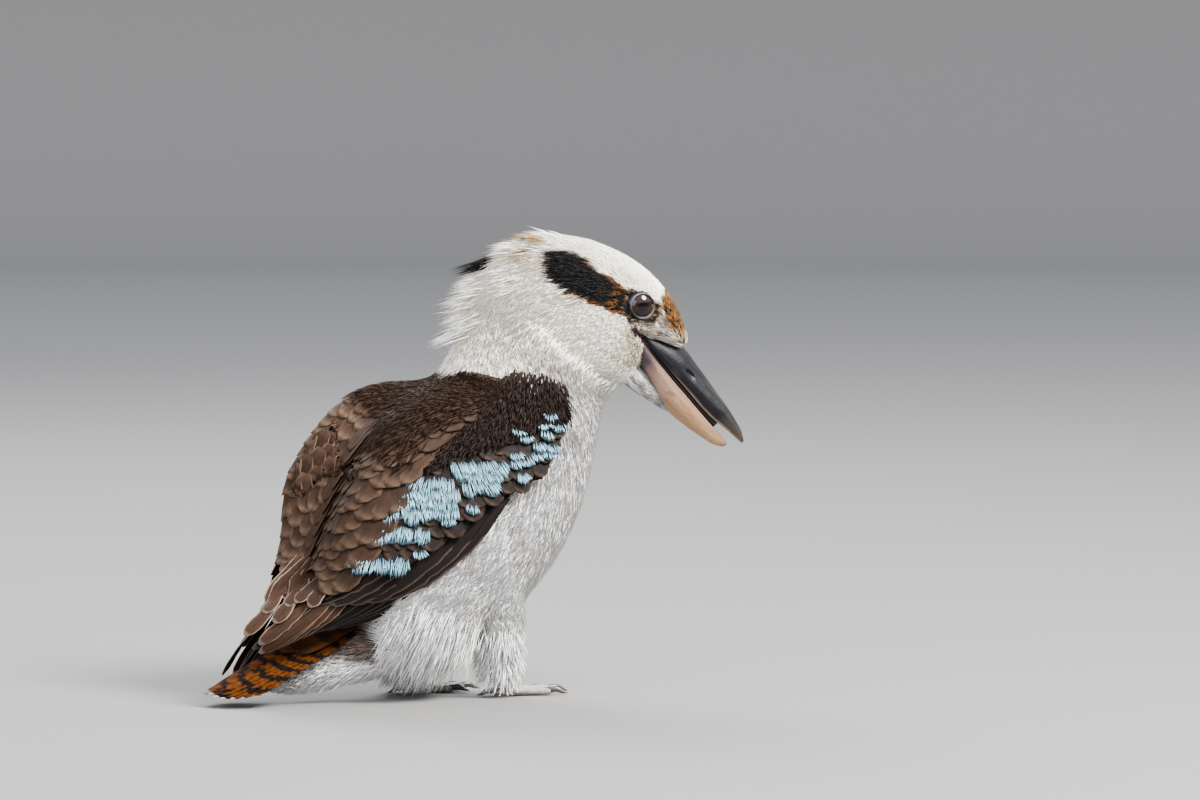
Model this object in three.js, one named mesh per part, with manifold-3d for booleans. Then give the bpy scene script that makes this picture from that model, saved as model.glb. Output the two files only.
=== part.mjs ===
// Laughing kookaburra standing on the ground, life size, its head turned to its right and its bill lowered.
// Millimetres. +X is where the breast points, +Y is the bird's left, +Z is up.
// The origin is the middle of the right foot's sole, on the floor.
import * as THREE from "three";
import { mergeVertices } from "three/addons/utils/BufferGeometryUtils.js";
import Module from "manifold-3d";

const wasm = await Module();
wasm.setup();

// Driving dimensions
const GAP = 0.3; // between two nodes that touch
const STANCE = 34; // between the two feet, across the body
const STRIDE = 37; // the left foot stands this far behind the right one
const HEAD_TURN = THREE.MathUtils.degToRad(25); // to the bird's right
const NECK_X = 16.5; // the upright line that the head turns about
const FULLNESS = 2.25; // 2 makes the body's sections ellipses, and more makes them squarer
const BILL_PITCH = THREE.MathUtils.degToRad(47.5); // below level
const GAPE = [73, 189]; // the corner of the mouth, along and up
const EYE = { along: 73.3, up: 201.2, out: 15.3, radius: 9.5, opening: 6.7, turn: THREE.MathUtils.degToRad(20) };
const VANE_THICKNESS = 0.7;
const AROUND = 22; // points round a section of the body

// Sections of the body from rump to forehead: top of the section along and up, its bottom along and up,
// half its width, and how much of the head's turn it takes.
const BODY = [
  [-93, 56, -83, 42, 14, 0],
  [-97, 68, -76, 32, 26, 0],
  [-94, 85, -62, 23, 35, 0],
  [-87, 102, -42, 18, 41, 0],
  [-77, 118, -18, 25, 44, 0],
  [-65, 132.5, 4, 45, 45, 0],
  [-54, 144, 24, 67, 44, 0],
  [-44.5, 153, 38, 91, 41.5, 0],
  [-37, 160.5, 46, 114, 38, 0.02],
  [-32, 168.5, 51, 135, 34.5, 0.1],
  [-26, 177, 54, 147, 32, 0.25],
  [-21, 187, 57, 154, 30.5, 0.5],
  [-17, 199, 59.5, 157.5, 30, 0.75],
  [-11, 211, 62, 159, 29.5, 0.92],
  [-3, 222.5, 65.5, 160, 29, 1],
  [8, 232, 69, 161.5, 28.5, 1],
  [24, 237, 72, 164.5, 28, 1],
  [42, 236.5, 74.5, 170, 27, 1],
  [60, 231, 77, 176, 25, 1],
  [76, 221, 81, 181, 22.5, 1],
  [88, 208, 86, 181, 18.5, 1],
  [95, 195, 91, 179, 14.5, 1],
  [98.5, 184, 95.5, 177.5, 10.5, 1],
];
const TORSO_END = 9.3; // where the neck starts, in sections
const NECK_END = 13.4; // where the head starts
const TORSO_STEPS = 17;
const NECK_STEPS = 8;

// Sections of the cloak that the folded wings and shoulder feathers make over the body, from shoulder to wing
// tips, with how far each shoulder's feathers stand off the groove between them.
const CLOAK = [
  [-26, 174, 60, 144, 41, 0],
  [-36, 167.5, 48, 116, 46, 2],
  [-52, 158.5, 32, 80, 49.5, 9],
  [-70, 143, 8, 48, 51, 16],
  [-85, 124, -24, 33, 50.5, 20],
  [-95, 105, -52, 29, 47.5, 22],
  [-103, 87, -78, 27, 42.5, 22],
  [-111, 70, -100, 26, 36, 14],
  [-124, 61, -118, 24, 28.5, 3],
  [-143, 53, -136, 20, 21, 0],
  [-159, 43, -153, 15, 15.5, 0],
];
const BULGE = { right: 0.5, left: 1 }; // the right shoulder's feathers lie flatter, as the head is turned that way
const BULGE_ANGLE = 0.68; // from the top of the section

// One value of a Catmull-Rom curve through rows of numbers, t counted in rows.
function rowAt(rows, t) {
  const last = rows.length - 1;
  const i = Math.min(Math.max(Math.floor(t), 0), last - 1);
  const f = t - i;
  const row = (k) => rows[Math.min(Math.max(k, 0), last)];
  return rows[0].map((_, j) => {
    const [a, b, c, d] = [row(i - 1)[j], row(i)[j], row(i + 1)[j], row(i + 2)[j]];
    return b + 0.5 * f * (c - a + f * (2 * a - 5 * b + 4 * c - d + f * (3 * (b - c) + d - a)));
  });
}

// A point turned with the head about the neck's upright line, by a share of the head's turn.
function turned(point, share) {
  const angle = -HEAD_TURN * share;
  const along = point.x - NECK_X;
  const x = NECK_X + along * Math.cos(angle) - point.y * Math.sin(angle);
  const y = along * Math.sin(angle) + point.y * Math.cos(angle);
  return new THREE.Vector3(x, y, point.z);
}

// A point on a section, at an angle from its top towards the bird's right.
function onSection([topX, topZ, lowX, lowZ, half, turn = 0], angle, grow = 0) {
  const ax = (topX - lowX) / 2;
  const az = (topZ - lowZ) / 2;
  const stretch = 1 + grow / Math.hypot(ax, az);
  const rounded = (v) => Math.sign(v) * Math.abs(v) ** (2 / FULLNESS);
  const up = rounded(Math.cos(angle)) * stretch;
  const side = rounded(Math.sin(angle)) * (half + grow);
  const point = new THREE.Vector3((topX + lowX) / 2 + up * ax, -side, (topZ + lowZ) / 2 + up * az);
  return turned(point, turn);
}

function closedGeometry(points, faces) {
  const geometry = new THREE.BufferGeometry();
  const flat = points.flatMap((p) => [p.x, p.y, p.z]);
  geometry.setAttribute("position", new THREE.Float32BufferAttribute(flat, 3));
  geometry.setIndex(faces.flat());
  return geometry;
}

// A solid from a closed geometry, with its faces turned out whichever way they were made.
function solid(geometry) {
  const bare = geometry.index ? geometry.toNonIndexed() : geometry.clone();
  bare.deleteAttribute("normal");
  bare.deleteAttribute("uv");
  const merged = mergeVertices(bare, 1e-4);
  const triVerts = new Uint32Array(merged.index.array);
  const vertProperties = merged.attributes.position.array;
  const make = () => new wasm.Manifold(new wasm.Mesh({ numProp: 3, vertProperties, triVerts }));
  const made = make();
  if (made.volume() > 0) return made;
  for (let i = 0; i < triVerts.length; i += 3) {
    [triVerts[i + 1], triVerts[i + 2]] = [triVerts[i + 2], triVerts[i + 1]];
  }
  return make();
}

function middleOf(ring) {
  return ring.reduce((sum, p) => sum.clone().add(p), new THREE.Vector3()).divideScalar(ring.length);
}

// A solid through rings of points that each have the same number of points, closed at both ends.
function loft(rings) {
  const n = rings[0].length;
  const points = rings.flat();
  const faces = [];
  for (let i = 0; i < rings.length - 1; i++) {
    for (let j = 0; j < n; j++) {
      const [a, b] = [i * n + j, i * n + ((j + 1) % n)];
      faces.push([a, b, b + n], [a, b + n, a + n]);
    }
  }
  points.push(middleOf(rings[0]), middleOf(rings.at(-1)));
  const end = (rings.length - 1) * n;
  for (let j = 0; j < n; j++) {
    const next = (j + 1) % n;
    faces.push([next, j, points.length - 2], [end + j, end + next, points.length - 1]);
  }
  return solid(closedGeometry(points, faces));
}

const turnOf = (j, count) => (j / count) * 2 * Math.PI;
const joined = (solids) => wasm.Manifold.union(solids);
const mirrored = (made) => made.mirror([0, 1, 0]);

// The largest closed surface of a solid, so that no scrap or sealed hollow is left.
function largest(made) {
  const bodies = made.decompose();
  return bodies.reduce((a, b) => (b.volume() > a.volume() ? b : a));
}

// A stretch of the body between two section counts, and the solid over it or over several together.
function bodyRings(from, to, steps, grow) {
  return Array.from({ length: steps + 1 }, (_, i) => {
    const row = rowAt(BODY, from + ((to - from) * i) / steps);
    return Array.from({ length: AROUND }, (_, j) => onSection(row, turnOf(j, AROUND), grow));
  });
}
function bodyStretch(from, to, steps, grow = 0, more = []) {
  const rings = [...bodyRings(from, to, steps, grow), ...more];
  if (grow > 0) {
    rings.unshift(pushedOut(rings[0], rings[1], grow));
    rings.push(pushedOut(rings.at(-1), rings.at(-2), grow));
  }
  return loft(rings);
}

// An end ring moved away from the ring before it.
function pushedOut(ring, before, grow) {
  const away = middleOf(ring).sub(middleOf(before)).setLength(grow);
  return ring.map((p) => p.clone().add(away));
}

// A closed tube through stops of [x, y, z, half width, half depth], its sections upright to the path.
function limb(stops, steps, around) {
  const path = new THREE.CatmullRomCurve3(stops.map(([x, y, z]) => new THREE.Vector3(x, y, z)));
  const rings = [];
  for (let i = 0; i <= steps; i++) {
    const t = i / steps;
    const [half, deep] = rowAt(stops.map((s) => s.slice(3)), t * (stops.length - 1));
    const middle = path.getPoint(t);
    const along = path.getTangent(t);
    const side = new THREE.Vector3(0, 0, 1).cross(along);
    if (side.length() < 0.2) side.set(0, 1, 0);
    side.normalize();
    const up = along.clone().cross(side).normalize();
    rings.push(
      Array.from({ length: around }, (_, j) => {
        const a = turnOf(j, around);
        const p = middle.clone().addScaledVector(side, half * Math.cos(a));
        return p.addScaledVector(up, deep * Math.sin(a));
      }),
    );
  }
  return loft(rings);
}

// Charts: a chart maps two numbers to a point on a surface, with its normal pointing out of the body.
// The side chart takes x and z and gives the right side of the cloak.
function sideAt(x, z) {
  const steps = 96;
  const last = CLOAK.length - 1;
  const cross = (t) => {
    const [tx, tz, lx, lz] = rowAt(CLOAK, t);
    return (tx - lx) * (z - lz) - (tz - lz) * (x - lx);
  };
  let low = 0;
  while (low < steps - 1 && cross((last * (low + 1)) / steps) > 0) low++;
  let [a, b] = [(last * low) / steps, (last * (low + 1)) / steps];
  for (let i = 0; i < 18; i++) {
    const mid = (a + b) / 2;
    if (cross(mid) > 0) a = mid;
    else b = mid;
  }
  const [tx, tz, lx, lz, half] = rowAt(CLOAK, (a + b) / 2);
  const reach = Math.hypot(tx - lx, tz - lz) / 2;
  const off = Math.hypot(x - (tx + lx) / 2, z - (tz + lz) / 2) / reach;
  const y = half * (1 - Math.min(off, 0.97) ** FULLNESS) ** (1 / FULLNESS);
  return new THREE.Vector3(x, -y, z);
}
const SIDE = { at: sideAt, step: 0.5, outward: () => new THREE.Vector3(0, -1, 0) };

// The back chart takes a section count and an angle from the top, and its shoulders stand off the groove.
function backAt(t, angle, side) {
  const row = rowAt(CLOAK, t);
  const up = new THREE.Vector3(row[0] - row[2], 0, row[1] - row[3]).normalize();
  const bump = Math.exp(-(((Math.abs(angle) - BULGE_ANGLE) / 0.42) ** 2)) * row[5] * BULGE[side];
  return onSection([...row.slice(0, 5), 0], angle).addScaledVector(up, bump);
}
function backChart(side) {
  const at = (t, angle) => backAt(t, angle, side);
  const outward = (t, angle) => {
    const row = rowAt(CLOAK, t);
    const middle = new THREE.Vector3((row[0] + row[2]) / 2, 0, (row[1] + row[3]) / 2);
    return at(t, angle).sub(middle);
  };
  return { at, step: 0.01, outward };
}

// The point, the normal and both slopes of a chart.
function frameOf(chart, u, v) {
  const h = chart.step;
  const point = chart.at(u, v);
  const du = chart.at(u + h, v).sub(chart.at(u - h, v)).divideScalar(2 * h);
  const dv = chart.at(u, v + h).sub(chart.at(u, v - h)).divideScalar(2 * h);
  const normal = du.clone().cross(dv).normalize();
  if (normal.dot(chart.outward(u, v)) < 0) normal.negate();
  return { point, normal, du, dv };
}

// Chart steps that make a move, in mm, along the surface.
function pulled({ du, dv }, move) {
  const [a, b, c] = [du.dot(du), du.dot(dv), dv.dot(dv)];
  const [p, q] = [du.dot(move), dv.dot(move)];
  const det = a * c - b * b;
  return [(p * c - q * b) / det, (q * a - p * b) / det];
}

// A plate over a grid of points and normals, from one lift to another, cut alike on both faces.
function plate(points, normals, low, high) {
  const [rows, columns] = [points.length, points[0].length];
  const all = [];
  for (const lift of [high, low]) {
    points.forEach((row, i) =>
      row.forEach((p, j) => all.push(p.clone().addScaledVector(normals[i][j], lift(i / (rows - 1))))),
    );
  }
  const under = rows * columns;
  const at = (i, j) => i * columns + j;
  const faces = [];
  for (let i = 0; i < rows - 1; i++) {
    for (let j = 0; j < columns - 1; j++) {
      const [a, b, c, d] = [at(i, j), at(i, j + 1), at(i + 1, j + 1), at(i + 1, j)];
      faces.push([a, b, c], [a, c, d], [a + under, c + under, b + under], [a + under, d + under, c + under]);
    }
  }
  const rim = [];
  for (let j = 0; j < columns - 1; j++) rim.push(at(0, j));
  for (let i = 0; i < rows - 1; i++) rim.push(at(i, columns - 1));
  for (let j = columns - 1; j > 0; j--) rim.push(at(rows - 1, j));
  for (let i = rows - 1; i > 0; i--) rim.push(at(i, 0));
  rim.forEach((a, k) => {
    const b = rim[(k + 1) % rim.length];
    faces.push([b, a, a + under], [b, a + under, b + under]);
  });
  return solid(closedGeometry(all, faces));
}

// A plate over a patch of a chart, between two lines of places, from one lift to another.
function patch(chart, from, to, rows, columns, low, high) {
  const frames = Array.from({ length: rows + 1 }, (_, i) => {
    const [a, b] = [curveAt(from, i / rows), curveAt(to, i / rows)];
    return Array.from({ length: columns + 1 }, (_, j) => frameOf(chart, ...between(a, b, j / columns)));
  });
  const points = frames.map((row) => row.map((f) => f.point));
  const normals = frames.map((row) => row.map((f) => f.normal));
  return plate(points, normals, () => low, () => high);
}

// Outline of a vane: its half width along its length, as a share of the widest.
const bladeOutline = (q) => Math.min(1, 0.5 + 2.2 * q) * (q < 0.7 ? 1 : Math.sqrt(Math.max(0, 1 - ((q - 0.7) / 0.31) ** 2)));
const lockOutline = (q) => (0.75 + 0.5 * q) * (1 - q) ** 0.8 + 0.03;

// A feather that lies on a chart from root to tip. Its lift is its height over the surface at the root and the tip.
function vane(chart, root, tip, half, lift, options = {}) {
  const { steps = 4, outline = bladeOutline, bow = 0, thick = VANE_THICKNESS, tilt = 0 } = options;
  const points = [];
  const normals = [];
  const line = (q) => {
    const out = bow * Math.sin(Math.PI * q);
    return [
      root[0] + (tip[0] - root[0]) * q - (tip[1] - root[1]) * out,
      root[1] + (tip[1] - root[1]) * q + (tip[0] - root[0]) * out,
    ];
  };
  for (let i = 0; i <= steps; i++) {
    const q = (i / steps) ** 0.85;
    const [u, v] = line(q);
    const here = frameOf(chart, u, v);
    const ahead = chart.at(...line(q + 0.01)).sub(chart.at(...line(q - 0.01))).normalize();
    const sideways = here.normal.clone().cross(ahead).normalize();
    const height = lift[0] + (lift[1] - lift[0]) * q;
    const ends = [-1, 1].map((share) => {
      const [su, sv] = pulled(here, sideways.clone().multiplyScalar(share * half * outline(q)));
      return frameOf(chart, u + su, v + sv);
    });
    points.push(ends.map((f, j) => f.point.clone().addScaledVector(f.normal, height + (j ? tilt : -tilt))));
    normals.push(ends.map((f) => f.normal));
  }
  const tapered = (q) => (thick / 2) * (1 - 0.4 * q ** 3);
  return plate(points, normals, (q) => -tapered(q), tapered);
}

// Seeded draws, so that each build is the same.
let seed = 20731;
function draw(spread) {
  seed = (seed * 1103515245 + 12345) % 2147483648;
  return spread * ((2 * seed) / 2147483648 - 1);
}
const between = (a, b, q) => a.map((v, i) => v + (b[i] - v) * q);
function curveAt(points, q) {
  return rowAt(points, q * (points.length - 1));
}

// Bill, at distances from the gape: half width, heights of the culmen, of the two cutting edges and of the keel.
const BILL = [
  [-2, 14, 3, 0.2, -1, -10.6],
  [4, 14.4, 5.6, -0.4, -1.6, -11.6],
  [11, 14, 8.8, -1.2, -2.7, -12.8],
  [19, 13, 10.8, -1.9, -3.6, -14],
  [26, 11.8, 10.9, -2.1, -4.1, -15.6],
  [32, 10.6, 10.2, -2.2, -4.5, -16.8],
  [42, 8.7, 9.1, -2.5, -4.9, -17.6],
  [52, 6.9, 7.9, -3, -5.3, -16.3],
  [61, 5.1, 6.9, -2.7, -5.6, -14.4],
  [70, 3.2, 5.2, -1.3, -5.7, -12],
  [74, 2.2, 4.3, -1, -6, -9.6],
];
const BILL_TIP = [80, 0.6, 1, -0.4];
const BILL_ALONG = new THREE.Vector3(Math.cos(BILL_PITCH), 0, -Math.sin(BILL_PITCH));
const BILL_UP = new THREE.Vector3(Math.sin(BILL_PITCH), 0, Math.cos(BILL_PITCH));
const CULMEN_BASE = [27, 11]; // where the forehead's feathers stop, from the gape and up from the bill's axis
const CHIN_BASE = [12.5, -12.5]; // where the cheek's feathers stop on the lower edge

// A point of the bill: distance from the gape, side, and height over the bill's axis.
function onBill(from, side, height) {
  const point = new THREE.Vector3(GAPE[0], side, GAPE[1]);
  return turned(point.addScaledVector(BILL_ALONG, from).addScaledVector(BILL_UP, height), 1);
}

function billRing(row, upper, grow) {
  const [from, half, culmen, edgeUp, edgeLow, keel] = row;
  const wide = half + grow;
  if (upper) {
    const low = edgeUp - grow;
    const tall = culmen + grow - low;
    const outline = [[1, 0], [0.98, 0.2], [0.84, 0.5], [0.52, 0.8], [0, 1]];
    const right = outline.map(([w, h]) => onBill(from, -w * wide, low + h * tall));
    const left = outline.slice(0, -1).reverse().map(([w, h]) => onBill(from, w * wide, low + h * tall));
    return [...right, ...left, onBill(from, 0, low + (grow ? 0 : 0.14 * tall))];
  }
  const top = edgeLow + grow;
  const deep = top - (keel - grow);
  const outline = [[0.93, 0], [0.9, 0.32], [0.66, 0.72], [0, 1]];
  const right = outline.map(([w, h]) => onBill(from, -w * wide, top - h * deep));
  const left = outline.slice(0, -1).reverse().map(([w, h]) => onBill(from, w * wide, top - h * deep));
  return [...right, ...left, onBill(from, 0, top - (grow ? 0 : 0.1 * deep))];
}

function mandible(upper, grow = 0) {
  const steps = 10;
  const rings = [];
  for (let i = 0; i <= steps; i++) {
    rings.push(billRing(rowAt(BILL, ((BILL.length - 1) * i) / steps), upper, grow));
  }
  if (upper) rings.push(billRing([...BILL_TIP, 0, 0], upper, grow));
  if (grow > 0) rings.unshift(pushedOut(rings[0], rings[1], grow + 0.5));
  return loft(rings);
}

function nostril(side) {
  const slit = new THREE.SphereGeometry(1, 8, 6);
  slit.scale(2.6, 1.4, 0.75);
  slit.rotateY(BILL_PITCH);
  const at = onBill(35, side * 9.6, 4.4);
  slit.translate(at.x, at.y, at.z);
  return solid(slit);
}

function eyeball(side, grow = 0) {
  const ball = new THREE.SphereGeometry(EYE.radius + grow, 14, 9);
  const at = turned(new THREE.Vector3(EYE.along, side * EYE.out, EYE.up), 1);
  ball.translate(at.x, at.y, at.z);
  return solid(ball);
}

// The lids, a ring that stands a little proud round the eye, facing out and somewhat forward.
function lids(side) {
  const ring = new THREE.TorusGeometry(EYE.opening + 0.4, 1.3, 4, 12);
  ring.rotateX(Math.PI / 2);
  ring.translate(0, side * Math.sqrt(EYE.radius ** 2 - EYE.opening ** 2), 0);
  ring.rotateZ(-side * EYE.turn);
  ring.translate(EYE.along - NECK_X, side * EYE.out, EYE.up);
  ring.rotateZ(-HEAD_TURN);
  ring.translate(NECK_X, 0, 0);
  return solid(ring);
}

// Head chart: section count and angle, as on the body.
const HEAD_CHART = {
  at: (t, angle) => onSection(rowAt(BODY, t), angle),
  step: 0.01,
  outward: (t, angle) => {
    const row = rowAt(BODY, t);
    const middle = turned(new THREE.Vector3((row[0] + row[2]) / 2, 0, (row[1] + row[3]) / 2), row[5]);
    return onSection(row, angle).sub(middle);
  },
};

// The shaggy crest on the hind crown: rows of locks that point back and stand off the nape.
function crest() {
  const locks = [];
  const rows = [
    { at: 16.4, count: 2, spread: 0.3, long: 1.9, off: 4 },
    { at: 15.7, count: 3, spread: 0.7, long: 1.8, off: 6.5 },
    { at: 14.9, count: 2, spread: 0.4, long: 1.3, off: 8.5 },
  ];
  for (const { at, count, spread, long, off } of rows) {
    for (let i = 0; i < count; i++) {
      const angle = spread * ((2 * i) / (count - 1) - 1);
      const root = [at + draw(0.06), angle];
      const tip = [Math.max(NECK_END + 0.05, at - long), angle * 1.05 + draw(0.05)];
      const options = { steps: 2, outline: lockOutline, thick: 1.3 };
      locks.push(vane(HEAD_CHART, root, tip, 5.4, [-3.5, off + draw(0.8)], options));
    }
  }
  return locks;
}

// The feathers that reach onto the bill, a thin sleeve behind a slanting line on each half of it.
function sleeve(upper) {
  const [along, up] = [onBill(1, 0, 0).sub(onBill(0, 0, 0)), onBill(0, 0, 1).sub(onBill(0, 0, 0))];
  const [from, height] = upper ? CULMEN_BASE : CHIN_BASE;
  const normal = up.multiplyScalar(from * (upper ? 1 : -1)).addScaledVector(along, -Math.abs(height)).normalize();
  const gape = onBill(0, 0, 0);
  return mandible(upper, 1.1).trimByPlane(normal.toArray(), normal.dot(gape) - 0.4);
}

function makeHead(neckRoom) {
  const flesh = bodyStretch(NECK_END - 0.05, BODY.length - 1, 14);
  const chin = limb(
    [[62, 0, 172, 13, 10], [72, 0, 163, 11.5, 7.5], [83, 0, 151, 9, 4.4], [95, 0, 139.5, 4, 1.4]].map(([x, y, z, a, b]) => {
      const p = turned(new THREE.Vector3(x, y, z), 1);
      return [p.x, p.y, p.z, a, b];
    }),
    5,
    10,
  );
  const whole = joined([flesh, chin, sleeve(true), sleeve(false), lids(1), lids(-1), ...crest()]);
  const bills = joined([mandible(true, 2 * GAP), mandible(false, 2 * GAP)]);
  return largest(whole.subtract(joined([bills, neckRoom, eyeball(1, GAP), eyeball(-1, GAP)])));
}

// Legs, for the right side with the foot's sole centred on the floor under it.
const THIGH = [
  [-24, 0, 60, 18, 21],
  [-17, 0, 44, 15, 17],
  [-11, 0, 31, 11, 12.5],
  [-9, 0, 19, 9, 10.5],
  [-8.5, 0, 9, 7.4, 8.6],
];
const TOES = [
  { angle: 4, long: 22, thick: 2.6 },
  { angle: -19, long: 18.5, thick: 2.4 },
  { angle: 27, long: 15, thick: 2.4 },
  { angle: 176, long: 12, thick: 2.4 },
];
const CLAW = 9;

function floored(made) {
  return made.trimByPlane([0, 0, 1], 0);
}

function toeLine({ angle, long, thick }, mirror) {
  const a = THREE.MathUtils.degToRad(angle * mirror);
  const start = Math.abs(angle) > 90 ? 3 : 0;
  const out = (r) => [r * Math.cos(a), r * Math.sin(a)];
  return { out, start, long, thick };
}

function makeFoot(mirror) {
  const tarsus = limb([[-9.5, 0, 17, 3.4, 3.8], [-6, 0, 10.5, 2.9, 3.1], [-1.5, 0, 4.4, 3.3, 3]], 2, 7);
  const pad = new THREE.SphereGeometry(1, 8, 5);
  pad.scale(6.2, 5, 3.4);
  pad.translate(-0.5, 0, 2.3);
  const toes = TOES.map((toe) => {
    const { out, start, long, thick } = toeLine(toe, mirror);
    const stops = [start, long * 0.45, long].map((r, i) => [
      ...out(r),
      thick * [0.92, 0.86, 0.72][i],
      thick * [1.08, 1, 0.84][i],
      thick * [1, 0.96, 0.84][i],
    ]);
    return limb(stops, 2, 5);
  });
  const claws = TOES.map((toe) => {
    const { out, long, thick } = toeLine(toe, mirror);
    const stops = [
      [...out(long - 3), thick * 0.95, 1.7, 2.1],
      [...out(long + CLAW * 0.35), thick * 0.9 + 0.6, 1.25, 1.6],
      [...out(long + CLAW * 0.72), thick * 0.55, 0.75, 0.95],
      [...out(long + CLAW), 0.75, 0.25, 0.3],
    ];
    return limb(stops, 2, 4);
  });
  return floored(joined([tarsus, solid(pad), ...toes, ...claws]));
}

function makeThigh(wide, lean) {
  const core = limb(THIGH.map(([x, y, z, a, b], i) => [x + lean * (z - 11), y, z, b * (i < 2 ? 1 : wide), a]), 5, 10);
  const locks = [];
  const count = 6;
  for (let i = 0; i < count; i++) {
    const a = turnOf(i + 0.5, count);
    const root = new THREE.Vector3(-9 + 6 * wide * Math.cos(a), 5 * Math.sin(a), 18);
    const tip = new THREE.Vector3(-9.5 + 8.6 * wide * Math.cos(a) + draw(0.6), 7.4 * Math.sin(a), 4.4 + draw(0.8));
    const side = new THREE.Vector3(-Math.sin(a), Math.cos(a), 0);
    const points = [0, 0.5, 1].map((q) => {
      const p = root.clone().lerp(tip, q);
      return [-1, 1].map((s) => p.clone().addScaledVector(side, s * 4.6 * lockOutline(q)));
    });
    const normal = new THREE.Vector3(Math.cos(a), Math.sin(a), 0.2).normalize();
    const thick = (q) => 0.8 * (1 - 0.6 * q);
    locks.push(plate(points, points.map((r) => r.map(() => normal)), (q) => -thick(q), thick));
  }
  return joined([core, ...locks]);
}

// Places on the body's right side, x and z, along the folded wing.
const WING_EDGE = [[15, 159], [18, 144], [13, 130], [3, 114], [-12, 99], [-32, 81.5], [-50, 68], [-66, 60], [-82, 55]];
const WING_TOP = [[-7, 169], [-24, 162], [-43, 154], [-61, 140], [-76, 125], [-89, 111], [-100, 99], [-109, 89], [-117, 78]];
const UNDER_WING = -4.2; // the lift that parts the wing's own plate from the flight feathers under it
const SHINGLE = 0.6; // each feather's upper edge is this much higher than its middle, over its neighbour's lower edge

// A tier of feathers whose roots and tips run along two lines of places.
function tier({ roots, tips, count, half, lift, steps = 3, wander = 1, tilt = SHINGLE, stack = 0 }) {
  return Array.from({ length: count }, (_, i) => {
    const q = i / (count - 1);
    const root = curveAt(roots, q).map((v) => v + draw(wander * 0.5));
    const tip = curveAt(tips, q).map((v) => v + draw(wander));
    const wide = half[0] + (half[1] - half[0]) * q;
    const height = lift.map((v) => v + stack * i);
    return vane(SIDE, root, tip, wide, height, { steps, tilt });
  });
}

const COVERTS = [
  {
    roots: [[1, 119], [-26, 99], [-52, 84], [-80, 76]],
    tips: [[-14, 99], [-44, 75], [-76, 61], [-106, 64]],
    count: 5, half: [9, 11], lift: [-1.4, 0.5],
  },
  {
    roots: [[9, 135], [-15, 119], [-41, 105], [-74, 94]],
    tips: [[-1, 116], [-32, 95], [-62, 81], [-98, 79]],
    count: 5, half: [9, 11.5], lift: [-1.4, 1.5],
  },
  {
    roots: [[13, 152], [-8, 140], [-32, 127], [-62, 113]],
    tips: [[8, 131], [-19, 117], [-46, 104], [-84, 96]],
    count: 4, half: [11, 12.5], lift: [-1.4, 2.5],
  },
  {
    roots: [[8, 164], [-12, 158], [-34, 146]],
    tips: [[11, 147], [-12, 140], [-48, 124]],
    count: 3, half: [11, 12], lift: [-1.4, 3.4],
  },
];

const FLIGHT = [
  {
    // primaries
    roots: [[-74, 54], [-83, 60], [-91, 66], [-98, 72]],
    tips: [[-117, 39], [-131, 32], [-144, 26], [-153, 24]],
    count: 4, half: [6.4, 7], lift: [-12.4, -12.4], steps: 2, wander: 0.3, tilt: 0.2, stack: 0.9,
  },
  {
    // secondaries
    roots: [[-44, 84], [-60, 76], [-74, 73], [-88, 77]],
    tips: [[-82, 53], [-97, 50.5], [-112, 50.5], [-127, 48]],
    count: 5, half: [7, 7.6], lift: [-7.4, -7.4], steps: 2, wander: 0.3, tilt: 1.1,
  },
  {
    // tertials
    roots: [[-88, 78], [-95, 84], [-102, 89]],
    tips: [[-133, 41], [-143, 42], [-151, 39]],
    count: 3, half: [6, 6.5], lift: [-7.3, -7.3], steps: 2, wander: 0.3, tilt: 0.5, stack: 0.8,
  },
];

// Everything over or under one lift of the side chart, to part two layers of the wing.
function sideSlab(low, high) {
  const edge = [[40, 150], [20, 96], [-20, 62], [-60, 42], [-100, 26], [-140, 14]];
  const top = [[-8, 176], [-34, 164], [-62, 140], [-84, 114], [-104, 84], [-134, 60]];
  return patch(SIDE, edge, top, 6, 2, low, high);
}

function makeWing(room) {
  const cover = patch(SIDE, WING_EDGE, WING_TOP, 5, 3, UNDER_WING, -0.8);
  const share = (line, count) => line.slice(0, count);
  const root = patch(SIDE, share(WING_EDGE, 5), share(WING_TOP, 3), 3, 2, -12, -1.6);
  const feathers = COVERTS.flatMap(tier);
  const over = joined([cover, ...feathers]).subtract(sideSlab(-12, UNDER_WING));
  return largest(joined([over, root]).subtract(room));
}

function makeFlight(room) {
  const low = [[-46, 76], [-66, 66], [-84, 57], [-98, 54]];
  const top = [[-58, 92], [-76, 92], [-94, 90], [-106, 84]];
  const base = patch(SIDE, low, top, 4, 2, -13, UNDER_WING - 3 * GAP);
  const whole = joined([base, ...FLIGHT.flatMap(tier)]).subtract(sideSlab(UNDER_WING - GAP, 12));
  return largest(whole.subtract(room));
}

// Shoulder feathers that cover the back and the wing's upper edge, in tiers from the neck to the rump.
const SHOULDER = { from: 0.7, step: 0.84, steps: 7, low: [0.98, 0.88, 0.84, 0.88, 0.98, 1.1, 1.15], cover: -1.2, room: 12 };
const SCAPULARS = [
  { from: 5.0, to: 7.2, count: 3, half: 11.5, lift: [-2.4, 0.4] },
  { from: 4.0, to: 6.0, count: 3, half: 12, lift: [-2.4, 1.4] },
  { from: 3.0, to: 4.9, count: 3, half: 12, lift: [-2.4, 2.3] },
  { from: 2.0, to: 3.9, count: 3, half: 12, lift: [-2.4, 3.1] },
  { from: 1.0, to: 2.8, count: 2, half: 14, lift: [-2.4, 3.7] },
];
function shoulderLow(t) {
  const angles = SHOULDER.low.map((a) => [a]);
  return rowAt(angles, Math.min(t - SHOULDER.from, angles.length - 1))[0];
}

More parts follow.
